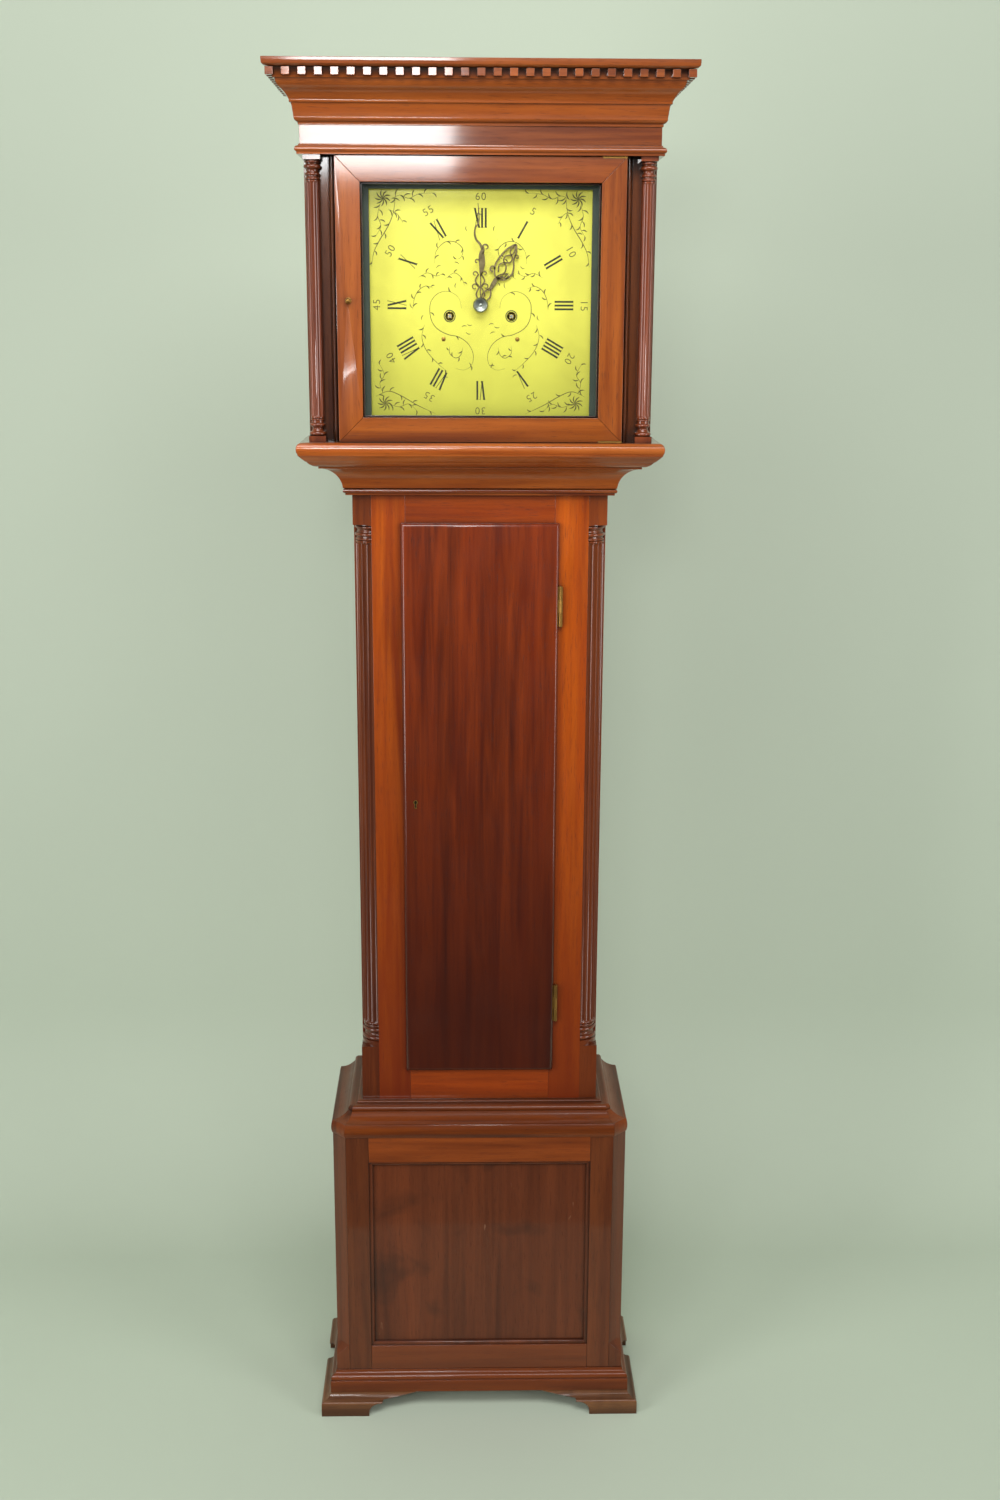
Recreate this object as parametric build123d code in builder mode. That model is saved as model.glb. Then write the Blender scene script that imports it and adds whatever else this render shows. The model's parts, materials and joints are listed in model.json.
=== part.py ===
from build123d import *
from math import atan2, cos, degrees, pi, radians, sin, sqrt, tan
import os

# A tall case clock: mahogany case with a sliding hood, hinged hood and trunk doors,
# an eight day striking movement, a seconds pendulum and two weights.
# Millimetres. X to the right, Y to the back, Z up. Origin on the floor, mid width and mid depth.

# Overall sizes
CASE_HEIGHT = 2004.0
CORNICE_PROJECTION = 43.0
HOOD_HALF = 237.0
TRUNK_HALF = 180.0
PLINTH_HALF = 225.0
CASE_BACK = 132.0
TRUNK_FRONT = -32.0
HOOD_FRONT = TRUNK_FRONT - (HOOD_HALF - TRUNK_HALF)
PLINTH_FRONT = TRUNK_FRONT - (PLINTH_HALF - TRUNK_HALF)
BOARD = 12.0
FRAME = 20.0
GLUE_LINE = 0.1
SLIDE_GAP = 0.3

# Levels above the floor
FOOT_HEIGHT = 34.0
BASE_MOULDING_TOP = 69.0
PLINTH_TOP = 471.0
PLINTH_MOULDING_TOP = 514.0
TRUNK_DOOR_LOW = 563.5
TRUNK_DOOR_HIGH = 1402.0
THROAT_LOW = 1442.0
THROAT_HIGH = 1484.7
HOOD_LOW = THROAT_HIGH + SLIDE_GAP
HOOD_SILL = 1518.0
HOOD_HEAD = 1890.0
FRIEZE_LOW = 1903.0
CORNICE_LOW = 1926.0
SEAT_LOW = 1578.0
SEAT_THICK = 22.0
SEAT_TOP = SEAT_LOW + SEAT_THICK
DIAL_Z = 1700.0

# Plinth
CANT = 20.0
CANT_STOP = 92.0
PLINTH_STILE = 35.0
PLINTH_OPENING_HALF = PLINTH_HALF - CANT - PLINTH_STILE
PLINTH_OPENING_LOW = 110.0
PLINTH_OPENING_HIGH = 429.0
PANEL_SET_BACK = 7.0
PANEL_THICK = 9.0
BEAD_WIDTH = 6.0
BOTTOM_THICK = 12.0

# Trunk
COLUMN_RADIUS = 26.0
COLUMN_X = TRUNK_HALF - COLUMN_RADIUS
COLUMN_Y = TRUNK_FRONT + COLUMN_RADIUS
COLUMN_BLOCK_LOW = 601.0
COLUMN_BASE = 35.0
COLUMN_CAPITAL = 24.0
COLUMN_BLOCK_HIGH = 1399.0
TRUNK_FRAME_LOW = PLINTH_TOP + 9.0
TRUNK_FRAME_HIGH = THROAT_HIGH - 0.7
TRUNK_DOOR_HALF = 112.0
LIP_COVER = 6.0
LIP_THICK = 8.0
DOOR_BODY = 16.0
DOOR_GAP = 0.7
HINGE_LENGTH = 58.0
HINGE_CENTRES = (674.0, 1283.5)
KNUCKLE = 2.8
HINGE_PIN = 1.2
HINGE_X = TRUNK_DOOR_HALF + 3.4
HINGE_Y = TRUNK_FRONT - 5.0
LEAF = 1.2
LOCK_Z = 990.0
LOCK_X = -94.4
LOCK_HIGH = 44.0
LOCK_DEEP = 8.0
LOCK_BACKSET = 28.0
BOLT = (24.0, 4.0, 10.0)
BOLT_GAP = 0.1
BOLT_THROW = 6.0

# Hood
HOOD_SIDE_SET = 3.0
EAR_GAP = 0.8
POST_THICK = 20.0
POST_INNER = 165.0
HOOD_COLUMN_X = 222.0
HOOD_COLUMN_RADIUS = 10.5
COLUMN_BLOCK = 23.0
HOOD_DOOR_HALF = 192.5
HOOD_DOOR_THICK = 22.0
HOOD_DOOR_FRAME = 33.0
HOOD_DOOR_GAP = 0.8
GLASS_THICK = 2.5
GLASS_REBATE = 6.0
MASK_HALF = 149.5
MASK_THICK = 6.0
PIVOT_X = HOOD_DOOR_HALF - 3.5
PIVOT_Y = HOOD_FRONT + 6.0
PIVOT_RADIUS = 2.0
RUNNING = 0.05
PIN_SIDES = 12
TURNED_SIDES = 20
KNOB_X = -177.0
KNOB_Z = DIAL_Z + 5.0
PIN_EASE = PIVOT_RADIUS * (1 - cos(pi / PIN_SIDES))
DENTIL_PITCH = 20.3
DENTIL_WIDTH = 10.5

# Dial and hands
DIAL_SIDE = 305.0
DIAL_Y = -50.0
DIAL_THICK = 2.0
WINDING_X = 42.0
WINDING_DROP = 14.5
WINDING_HOLE = 6.2
MINUTE_HAND = 136.0
HOUR_HAND = 94.0
MINUTE_HAND_ANGLE = 1.5
HOUR_HAND_ANGLE = -31.0

# Movement: plates across Y, arbors along Y
FRONT_PLATE_Y = -10.0
BACK_PLATE_Y = 50.0
PLATE = 3.0
PLATE_HALF = 84.0
PLATE_HIGH = 172.0
ARBOR = 2.5
PIVOT_FIT = 0.05
BARREL_Z = DIAL_Z - WINDING_DROP
BARREL_RADIUS = 22.0
LINE_RADIUS = 0.8
BARREL_FRONT = 1.0
BARREL_LONG = 26.0
GREAT_TEETH = 96
STRIKE_TEETH = 84
PINION_TEETH = 8
CENTRE_TEETH = 60
THIRD_TEETH = 56
ESCAPE_PINION_TEETH = 7
ESCAPE_TEETH = 30
PIN_WHEEL_TEETH = 64
CANNON_TEETH = 36
HOUR_TEETH = 72
HOUR_PINION_TEETH = 6
CENTRE_MODULE = 0.7
THIRD_MODULE = 0.6
STRIKE_MODULE = 0.85
CANNON_MODULE = 0.8
ESCAPE_RISE = 38.0
ANCHOR_Z = DIAL_Z + 60.0
ESCAPE_RADIUS = 16.0
PENDULUM_Y = 72.0
BOB_Z = 774.0
BOB_RADIUS = 52.0
BOB_THICK = 26.0
ROD_RADIUS = 2.5
WEIGHT_RADIUS = 28.0
WEIGHT_LONG = 230.0
WEIGHT_LOW = 140.0
PULLEY_RADIUS = 20.0
LINE_Y = 20.0
BELL_RADIUS = 45.0
BELL_Z = 1795.0
BELL_Y = 22.0

os.makedirs("parts", exist_ok=True)


def save(part, name):
    """Label a finished piece and write it."""
    part.label = name
    export_step(part, "parts/" + name + ".step")


def slab(x0, x1, y0, y1, z0, z1, mode=Mode.ADD):
    """A squared board between two corners."""
    with BuildSketch(Plane.XY.offset(z0)) as outline:
        with Locations(((x0 + x1) / 2, (y0 + y1) / 2)):
            Rectangle(x1 - x0, y1 - y0)
    extrude(outline.sketch, amount=z1 - z0, mode=mode)


def round_outline(x, y, radius, sides=0):
    """A circle; fine rods and their holes have a few flat sides instead, so that they stay light."""
    with Locations((x, y)):
        if sides:
            RegularPolygon(radius, sides)
        else:
            Circle(radius)


def disc(x, z, radius, y0, y1, mode=Mode.ADD, sides=0):
    """A round shaft or hole along Y."""
    with BuildSketch(Plane.XZ.offset(-y1)) as outline:
        round_outline(x, z, radius, sides)
    extrude(outline.sketch, amount=y1 - y0, mode=mode)


def post(x, y, radius, z0, z1, mode=Mode.ADD, sides=0):
    """A round rod or hole along Z."""
    with BuildSketch(Plane.XY.offset(z0)) as outline:
        round_outline(x, y, radius, sides)
    extrude(outline.sketch, amount=z1 - z0, mode=mode)


def turned(plane, x, y, profile, sides, mode=Mode.ADD):
    """Turned work as short tapers between (radius, level) pairs, with flat sides so that it stays light."""
    for (low_radius, low), (high_radius, high) in zip(profile, profile[1:]):
        with BuildSketch(plane.offset(low)) as start:
            round_outline(x, y, low_radius, sides)
        with BuildSketch(plane.offset(high)) as end:
            round_outline(x, y, high_radius, sides)
        loft(sections=(start.sketch, end.sketch), ruled=True, mode=mode)


def fluted_outline(x, y, radius, first, pitch, count, depth):
    """Lines of a shaft's outline: shallow hollows side by side, each an arc, seen from above."""
    for flute in range(count):
        ends = [radians(first + pitch * (flute + share)) for share in (0.1, 0.5, 0.9, 1.1)]
        reaches = (radius, radius - depth, radius, radius)
        hollow = [(x + reach * cos(angle), y + reach * sin(angle)) for angle, reach in zip(ends, reaches)]
        ThreePointArc(hollow[0], hollow[1], hollow[2])
        if flute < count - 1 or pitch * count > 359:
            Line(hollow[2], hollow[3])


def mirrored(part):
    """A piece and its mirror image at the other side of the case."""
    with BuildPart() as pair:
        add(part)
        mirror(part, about=Plane.YZ)
    return pair.part


# Mouldings
# A profile is drawn with x as the projection from the carcase face and y as the level.

def front_length(profile, half, front, reach, depth, low, high):
    """The front length of a moulding, cut at 45 degrees at both ends."""
    glue = GLUE_LINE / sqrt(2)
    with BuildPart() as length:
        with BuildSketch(Plane(origin=(0, front, 0), x_dir=(0, -1, 0), z_dir=(-1, 0, 0))) as section:
            add(profile)
        extrude(section.sketch, amount=half + reach, both=True)
        with BuildSketch(Plane.XY.offset(low)) as plan:
            outer = half + reach - glue
            inner = half - depth - glue
            with BuildLine():
                Polyline((-outer, front - reach), (outer, front - reach), (inner, front + depth),
                         (-inner, front + depth), close=True)
            make_face()
        extrude(plan.sketch, amount=high - low, mode=Mode.INTERSECT)
    return length.part


def side_length(profile, half, front, back, reach, depth, low, high):
    """The right hand return of a moulding, mitred at the front and square at the back."""
    with BuildPart() as length:
        with BuildSketch(Plane(origin=(half, back, 0), x_dir=(1, 0, 0), z_dir=(0, -1, 0))) as section:
            add(profile)
        extrude(section.sketch, amount=back - front + reach)
        with BuildSketch(Plane.XY.offset(low)) as plan:
            with BuildLine():
                Polyline((half + reach, back), (half + reach, front - reach), (half - depth, front + depth),
                         (half - depth, back), close=True)
            make_face()
        extrude(plan.sketch, amount=high - low, mode=Mode.INTERSECT)
    return length.part


def mitred(profile, half, front, back, reach, depth, low, high):
    """Three lengths of one moulding round the front and sides."""
    side = side_length(profile, half, front, back, reach, depth, low, high)
    with BuildPart() as lengths:
        add(front_length(profile, half, front, reach, depth, low, high))
        add(side)
        mirror(side, about=Plane.YZ)
    return lengths.part


def mitred_frame(half_x, low, high, width, y0, y1, rebate=0.0, rebate_y=0.0):
    """Four members mitred into an upright frame, with a rebate for glass at the back if asked."""
    glue = GLUE_LINE / sqrt(2)
    with BuildPart() as frame:
        with BuildSketch(Plane.XZ.offset(-y1)) as members:
            with BuildLine():
                Polyline((-half_x + glue, low), (half_x - glue, low), (half_x - width - glue, low + width),
                         (-half_x + width + glue, low + width), close=True)
            make_face()
            with BuildLine():
                Polyline((-half_x + glue, high), (half_x - glue, high), (half_x - width - glue, high - width),
                         (-half_x + width + glue, high - width), close=True)
            make_face()
            for side in (-1, 1):
                with BuildLine():
                    Polyline((side * half_x, low), (side * half_x, high), (side * (half_x - width), high - width),
                             (side * (half_x - width), low + width), close=True)
                make_face()
        extrude(members.sketch, amount=y1 - y0)
        if rebate > 0:
            with BuildSketch(Plane.XZ.offset(-y1)) as step:
                with Locations((0, (low + high) / 2)):
                    Rectangle(2 * (half_x - width + rebate), high - low - 2 * (width - rebate))
            extrude(step.sketch, amount=rebate_y, mode=Mode.SUBTRACT)
    return frame.part


def line_x(side):
    """Where the line leaves the left of the barrel, and where its other run is tied to the seat board."""
    down = side * WINDING_X - BARREL_RADIUS - LINE_RADIUS
    return down, down + 2 * PULLEY_RADIUS


# Case: backboard, trunk and throat

def make_backboard():
    """The full height board, with a wing each side in the plinth and an ear each side that closes the hood."""
    inner = TRUNK_HALF - BOARD
    front = CASE_BACK - BOARD
    with BuildPart() as backboard:
        slab(-inner, inner, front, CASE_BACK, FOOT_HEIGHT + BOTTOM_THICK, CASE_HEIGHT - 12)
        slab(-TRUNK_HALF, TRUNK_HALF, front, CASE_BACK, SEAT_LOW + GLUE_LINE, HOOD_HEAD - EAR_GAP)
        for side in (-1, 1):
            x0, x1 = sorted((side * (inner + GLUE_LINE), side * (PLINTH_HALF - BOARD)))
            slab(x0, x1, front, CASE_BACK, FOOT_HEIGHT + BOTTOM_THICK, PLINTH_TOP)
            ear_reach = HOOD_HALF - HOOD_SIDE_SET - BOARD - EAR_GAP
            x0, x1 = sorted((side * (TRUNK_HALF + GLUE_LINE), side * ear_reach))
            slab(x0, x1, front, CASE_BACK, HOOD_SILL + EAR_GAP, HOOD_HEAD - EAR_GAP)
    save(backboard.part, "backboard")


def make_trunk_sides():
    """Side boards of the trunk; their tops run up inside the hood as cheeks under the seat board."""
    with BuildPart() as side:
        slab(TRUNK_HALF - BOARD, TRUNK_HALF, COLUMN_Y, CASE_BACK, PLINTH_TOP, SEAT_LOW)
    save(mirrored(side.part), "trunk_sides")


def make_trunk_frame():
    """Two stiles and two rails round the door opening, with slots for the hinge leaves."""
    opening = TRUNK_DOOR_HALF - LIP_COVER
    back = TRUNK_FRONT + FRAME
    with BuildPart() as frame:
        for side in (-1, 1):
            x0, x1 = sorted((side * (opening + GLUE_LINE), side * COLUMN_X))
            slab(x0, x1, TRUNK_FRONT, back, TRUNK_FRAME_LOW, TRUNK_FRAME_HIGH)
        for low, high in ((TRUNK_FRAME_LOW, TRUNK_DOOR_LOW + LIP_COVER),
                          (TRUNK_DOOR_HIGH - LIP_COVER, TRUNK_FRAME_HIGH)):
            slab(-opening, opening, TRUNK_FRONT, back, low, high)
        for centre in HINGE_CENTRES:
            slab(HINGE_X - LEAF / 2, HINGE_X + LEAF / 2, TRUNK_FRONT - 1, TRUNK_FRONT + 8,
                 centre - HINGE_LENGTH / 2, centre + HINGE_LENGTH / 2, Mode.SUBTRACT)
        bolt_y = TRUNK_FRONT + DOOR_BODY - LOCK_DEEP / 2
        slab(-opening - BOLT_THROW - 1, -opening, bolt_y - BOLT[1] / 2 - 0.5, bolt_y + BOLT[1] / 2 + 0.5,
             LOCK_Z - BOLT[2] / 2 - 0.5, LOCK_Z + BOLT[2] / 2 + 0.5, Mode.SUBTRACT)
    save(frame.part, "trunk_frame")


def make_quarter_columns():
    """Fluted quarter columns with turned caps and bases between square blocks, one at each front corner."""
    shaft = COLUMN_RADIUS - 1.5
    neck = COLUMN_RADIUS - 3.5
    foot = COLUMN_BLOCK_LOW
    base_top = foot + COLUMN_BASE
    capital_low = COLUMN_BLOCK_HIGH - COLUMN_CAPITAL
    axis = Axis((COLUMN_X, COLUMN_Y, 0), (0, 0, -1))
    upright = Plane(origin=(COLUMN_X, COLUMN_Y, 0), x_dir=(1, 0, 0), z_dir=(0, -1, 0))
    with BuildPart() as column:
        for low, high in ((TRUNK_FRAME_LOW, foot), (COLUMN_BLOCK_HIGH, TRUNK_FRAME_HIGH)):
            slab(COLUMN_X, TRUNK_HALF, TRUNK_FRONT, COLUMN_Y, low, high)
        with BuildSketch(upright) as turned:
            with BuildLine():
                Polyline((0, foot), (COLUMN_RADIUS, foot), (COLUMN_RADIUS, foot + 9), (neck, foot + 11),
                         (COLUMN_RADIUS, foot + 16), (neck, foot + 21), (COLUMN_RADIUS - 0.8, foot + 25),
                         (neck, foot + 29), (shaft, base_top), (0, base_top), close=True)
            make_face()
            with BuildLine():
                Polyline((0, capital_low), (shaft, capital_low), (neck, capital_low + 3),
                         (COLUMN_RADIUS - 0.8, capital_low + 6.5), (neck, capital_low + 10),
                         (COLUMN_RADIUS, capital_low + 14), (neck, capital_low + 18),
                         (COLUMN_RADIUS, capital_low + 20), (COLUMN_RADIUS, COLUMN_BLOCK_HIGH),
                         (0, COLUMN_BLOCK_HIGH), close=True)
            make_face()
        revolve(turned.sketch, axis=axis, revolution_arc=90)
        with BuildSketch(Plane.XY.offset(base_top)) as section:
            with BuildLine():
                start = (COLUMN_X + shaft * cos(radians(2)), COLUMN_Y)
                Line((COLUMN_X, COLUMN_Y), start)
                first = (COLUMN_X + shaft * cos(radians(2.2)), COLUMN_Y - shaft * sin(radians(2.2)))
                Line(start, first)
                fluted_outline(COLUMN_X, COLUMN_Y, shaft, 0, -22, 4, 2.2)
                last = radians(-22 * 3.9)
                end = (COLUMN_X + shaft * cos(last), COLUMN_Y + shaft * sin(last))
                Line(end, (COLUMN_X, COLUMN_Y - shaft * cos(radians(2))))
                Line((COLUMN_X, COLUMN_Y - shaft * cos(radians(2))), (COLUMN_X, COLUMN_Y))
            make_face()
        extrude(section.sketch, amount=capital_low - base_top)
    save(mirrored(column.part), "quarter_columns")


def make_throat_moulding():
    """The large cove under the hood, with a bead at its foot; its top is the shelf the hood slides on."""
    with BuildSketch() as profile:
        with BuildLine():
            Line((0, THROAT_LOW), (9, THROAT_LOW))
            Line((9, THROAT_LOW), (9, THROAT_LOW + 3))
            ThreePointArc((9, THROAT_LOW + 3), (12.4, THROAT_LOW + 6.2), (9.5, THROAT_LOW + 9))
            Line((9.5, THROAT_LOW + 9), (12, THROAT_LOW + 10))
            ThreePointArc((12, THROAT_LOW + 10), (20.5, THROAT_LOW + 29), (41, THROAT_HIGH - 3))
            Line((41, THROAT_HIGH - 3), (43, THROAT_HIGH - 3))
            Line((43, THROAT_HIGH - 3), (43, THROAT_HIGH))
            Line((43, THROAT_HIGH), (0, THROAT_HIGH))
            Line((0, THROAT_HIGH), (0, THROAT_LOW))
        make_face()
    save(mitred(profile.sketch, TRUNK_HALF, TRUNK_FRONT, CASE_BACK, 43, 0, THROAT_LOW, THROAT_HIGH),
         "throat_moulding")


def make_seat_board():
    """The board across the cheeks that carries the movement, with ways for the lines and the pendulum."""
    with BuildPart() as board:
        slab(-TRUNK_HALF, TRUNK_HALF, FRONT_PLATE_Y - 14, CASE_BACK - BOARD, SEAT_LOW, SEAT_TOP)
        for side in (-1, 1):
            down, tied = line_x(side)
            slab(down - 6, down + 6, BARREL_FRONT - 3, BARREL_FRONT + BARREL_LONG + 3, SEAT_LOW, SEAT_TOP,
                 Mode.SUBTRACT)
            post(tied, LINE_Y, LINE_RADIUS + 0.4, SEAT_LOW, SEAT_TOP, Mode.SUBTRACT, 8)
        slab(-14, 14, PENDULUM_Y - 10, PENDULUM_Y + 10, SEAT_LOW, SEAT_TOP, Mode.SUBTRACT)
    save(board.part, "seat_board")


# Plinth

def make_plinth_frame():
    """Two stiles and two rails at the front of the plinth."""
    back = PLINTH_FRONT + FRAME
    outer = PLINTH_HALF - CANT
    with BuildPart() as frame:
        for side in (-1, 1):
            x0, x1 = sorted((side * (PLINTH_OPENING_HALF + GLUE_LINE), side * outer))
            slab(x0, x1, PLINTH_FRONT, back, FOOT_HEIGHT, PLINTH_TOP)
        for low, high in ((FOOT_HEIGHT, PLINTH_OPENING_LOW), (PLINTH_OPENING_HIGH, PLINTH_TOP)):
            slab(-PLINTH_OPENING_HALF, PLINTH_OPENING_HALF, PLINTH_FRONT, back, low, high)
    save(frame.part, "plinth_frame")


def make_plinth_panel():
    """The sunk panel and the four beads planted round it."""
    face = PLINTH_FRONT + PANEL_SET_BACK
    inner = PLINTH_OPENING_HALF
    with BuildPart() as panel:
        slab(-inner, inner, face, face + PANEL_THICK, PLINTH_OPENING_LOW, PLINTH_OPENING_HIGH)
        add(mitred_frame(inner, PLINTH_OPENING_LOW, PLINTH_OPENING_HIGH, BEAD_WIDTH,
                         face - 4.5, face - GLUE_LINE))
        rims = panel.edges().filter_by(lambda edge: abs(edge.center().Y - (face - 4.5)) < 0.01)
        sight = inner - BEAD_WIDTH
        low, high = PLINTH_OPENING_LOW + BEAD_WIDTH, PLINTH_OPENING_HIGH - BEAD_WIDTH
        inside = [edge for edge in rims
                  if abs(abs(edge.center().X) - sight) < 0.5 and edge.length > 200
                  or min(abs(edge.center().Z - low), abs(edge.center().Z - high)) < 0.5 and edge.length > 200]
        fillet(inside, radius=3)
    save(panel.part, "plinth_panel")


def make_plinth_sides():
    """Side boards and the corner posts with their stopped cants."""
    with BuildPart() as side:
        slab(PLINTH_HALF - BOARD, PLINTH_HALF, PLINTH_FRONT + FRAME + 12, CASE_BACK, FOOT_HEIGHT, PLINTH_TOP)
        slab(PLINTH_HALF - CANT + GLUE_LINE, PLINTH_HALF, PLINTH_FRONT, PLINTH_FRONT + FRAME + 12 - GLUE_LINE,
             FOOT_HEIGHT, PLINTH_TOP)
        with BuildSketch(Plane.XY.offset(CANT_STOP + CANT)) as corner:
            with BuildLine():
                Polyline((PLINTH_HALF - CANT, PLINTH_FRONT), (PLINTH_HALF + 1, PLINTH_FRONT - 1),
                         (PLINTH_HALF, PLINTH_FRONT + CANT), close=True)
            make_face()
        extrude(corner.sketch, amount=PLINTH_TOP - CANT_STOP - CANT, mode=Mode.SUBTRACT)
        with BuildSketch(Plane.XY.offset(CANT_STOP + CANT)) as upper:
            add(corner.sketch)
        tip = Vector(PLINTH_HALF + 1, PLINTH_FRONT - 1, CANT_STOP)
        top = [Vector(PLINTH_HALF - CANT, PLINTH_FRONT, CANT_STOP + CANT),
               Vector(PLINTH_HALF + 1, PLINTH_FRONT - 1, CANT_STOP + CANT),
               Vector(PLINTH_HALF, PLINTH_FRONT + CANT, CANT_STOP + CANT)]
        faces = [Face(Wire.make_polygon(top)), Face(Wire.make_polygon([top[0], top[1], tip])),
                 Face(Wire.make_polygon([top[1], top[2], tip])), Face(Wire.make_polygon([top[0], top[2], tip]))]
        add(Solid(Shell(faces)), mode=Mode.SUBTRACT)
    save(mirrored(side.part), "plinth_sides")


def plinth_moulding_profile():
    """Nosing, shallow cove, torus and bead, from the plinth face in to the trunk."""
    step = PLINTH_HALF - TRUNK_HALF
    with BuildSketch() as profile:
        with BuildLine():
            Line((-step, PLINTH_TOP), (1, PLINTH_TOP))
            ThreePointArc((1, PLINTH_TOP), (2.6, PLINTH_TOP + 9), (1.2, PLINTH_TOP + 18))
            Line((1.2, PLINTH_TOP + 18), (0, PLINTH_TOP + 21))
            ThreePointArc((0, PLINTH_TOP + 21), (-13, PLINTH_TOP + 24), (-22, PLINTH_TOP + 31))
            Line((-22, PLINTH_TOP + 31), (-24, PLINTH_TOP + 32))
            ThreePointArc((-24, PLINTH_TOP + 32), (-24.5, PLINTH_TOP + 37.5), (-30, PLINTH_TOP + 40))
            Line((-30, PLINTH_TOP + 40), (-37, PLINTH_TOP + 40))
            ThreePointArc((-37, PLINTH_TOP + 40), (-37.5, PLINTH_TOP + 42.2), (-39, PLINTH_MOULDING_TOP))
            Line((-39, PLINTH_MOULDING_TOP), (-step, PLINTH_MOULDING_TOP))
            Line((-step, PLINTH_MOULDING_TOP), (-step, PLINTH_TOP))
        make_face()
    return profile.sketch


def make_plinth_moulding():
    """Five lengths round the top of the plinth: front, two short cants and two returns."""
    profile = plinth_moulding_profile()
    reach = 4.0
    step = PLINTH_HALF - TRUNK_HALF
    lean = tan(radians(22.5))
    meet = CANT / (1 - lean)
    glue = GLUE_LINE / 2
    height = PLINTH_MOULDING_TOP - PLINTH_TOP
    front, half = PLINTH_FRONT, PLINTH_HALF
    toe = (half - CANT + lean * reach, front - reach)
    knee = (half + reach, front + CANT - lean * reach)
    heart = (half - meet, front + meet)
    with BuildPart() as front_run:
        with BuildSketch(Plane(origin=(0, front, 0), x_dir=(0, -1, 0), z_dir=(-1, 0, 0))) as section:
            add(profile)
        extrude(section.sketch, amount=half, both=True)
        with BuildSketch(Plane.XY.offset(PLINTH_TOP)) as plan:
            with BuildLine():
                Polyline((-toe[0] + glue, toe[1]), (toe[0] - glue, toe[1]), (heart[0] - glue, heart[1]),
                         (half - step - glue, front + step), (-half + step + glue, front + step),
                         (-heart[0] + glue, heart[1]), close=True)
            make_face()
        extrude(plan.sketch, amount=height, mode=Mode.INTERSECT)
    with BuildPart() as side_run:
        with BuildSketch(Plane(origin=(half, CASE_BACK, 0), x_dir=(1, 0, 0), z_dir=(0, -1, 0))) as section:
            add(profile)
        extrude(section.sketch, amount=CASE_BACK - front)
        with BuildSketch(Plane.XY.offset(PLINTH_TOP)) as plan:
            with BuildLine():
                Polyline((knee[0], CASE_BACK), (knee[0], knee[1] + glue), (heart[0], heart[1] + glue),
                         (half - step, front + step + glue), (half - step, CASE_BACK), close=True)
            make_face()
        extrude(plan.sketch, amount=height, mode=Mode.INTERSECT)
    slant = 1 / sqrt(2)
    middle = (half - CANT / 2, front + CANT / 2, 0)
    with BuildPart() as cant_run:
        with BuildSketch(Plane(origin=middle, x_dir=(slant, -slant, 0), z_dir=(-slant, -slant, 0))) as section:
            add(profile)
        extrude(section.sketch, amount=2 * CANT, both=True)
        with BuildSketch(Plane.XY.offset(PLINTH_TOP)) as plan:
            with BuildLine():
                Polyline((toe[0] + glue, toe[1] - glue / 2), (knee[0] + glue / 2, knee[1] - glue),
                         (heart[0] + 2 * glue, heart[1] - 2 * glue), close=True)
            make_face()
        extrude(plan.sketch, amount=height, mode=Mode.INTERSECT)
    with BuildPart() as moulding:
        add(front_run.part)
        for run in (side_run.part, cant_run.part):
            add(run)
            mirror(run, about=Plane.YZ)
    save(moulding.part, "plinth_moulding")


def make_base_moulding():
    """The moulding round the foot of the plinth."""
    low = FOOT_HEIGHT
    with BuildSketch() as profile:
        with BuildLine():
            Line((0, low), (10, low))
            Line((10, low), (10, low + 19))
            Line((10, low + 19), (8, low + 20))
            ThreePointArc((8, low + 20), (9.2, low + 24), (7, low + 28))
            Line((7, low + 28), (5, low + 29))
            ThreePointArc((5, low + 29), (2.5, low + 31), (1.5, BASE_MOULDING_TOP))
            Line((1.5, BASE_MOULDING_TOP), (0, BASE_MOULDING_TOP))
            Line((0, BASE_MOULDING_TOP), (0, low))
        make_face()
    save(mitred(profile.sketch, PLINTH_HALF, PLINTH_FRONT, CASE_BACK, 10, 0, low, BASE_MOULDING_TOP),
         "base_moulding")


def bracket_profile():
    """Section through a bracket: square pad, ogee neck."""
    with BuildSketch() as profile:
        with BuildLine():
            Line((-14, 0), (24, 0))
            Line((24, 0), (24, 20))
            ThreePointArc((24, 20), (23, 23), (19.5, 24.5))
            ThreePointArc((19.5, 24.5), (13, 27.5), (9, FOOT_HEIGHT))
            Line((9, FOOT_HEIGHT), (-14, FOOT_HEIGHT))
            Line((-14, FOOT_HEIGHT), (-14, 0))
        make_face()
    return profile.sketch


def bracket_elevation(plane):
    """What is sawn away under a bracket, drawn along its length from the inner end."""
    length, pad = 149.0, 75.0
    with BuildSketch(plane) as sawn:
        with BuildLine():
            Line((0, -1), (length - pad, -1))
            Line((length - pad, -1), (length - pad, 9))
            ThreePointArc((length - pad, 9), (length - pad - 7, 19), (length - pad - 20, 22))
            Line((length - pad - 20, 22), (length - pad - 22, 25))
            ThreePointArc((length - pad - 22, 25), (length - pad - 48, 28), (0, FOOT_HEIGHT - 1))
            Line((0, FOOT_HEIGHT - 1), (0, -1))
        make_face()
    return sawn.sketch


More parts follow.
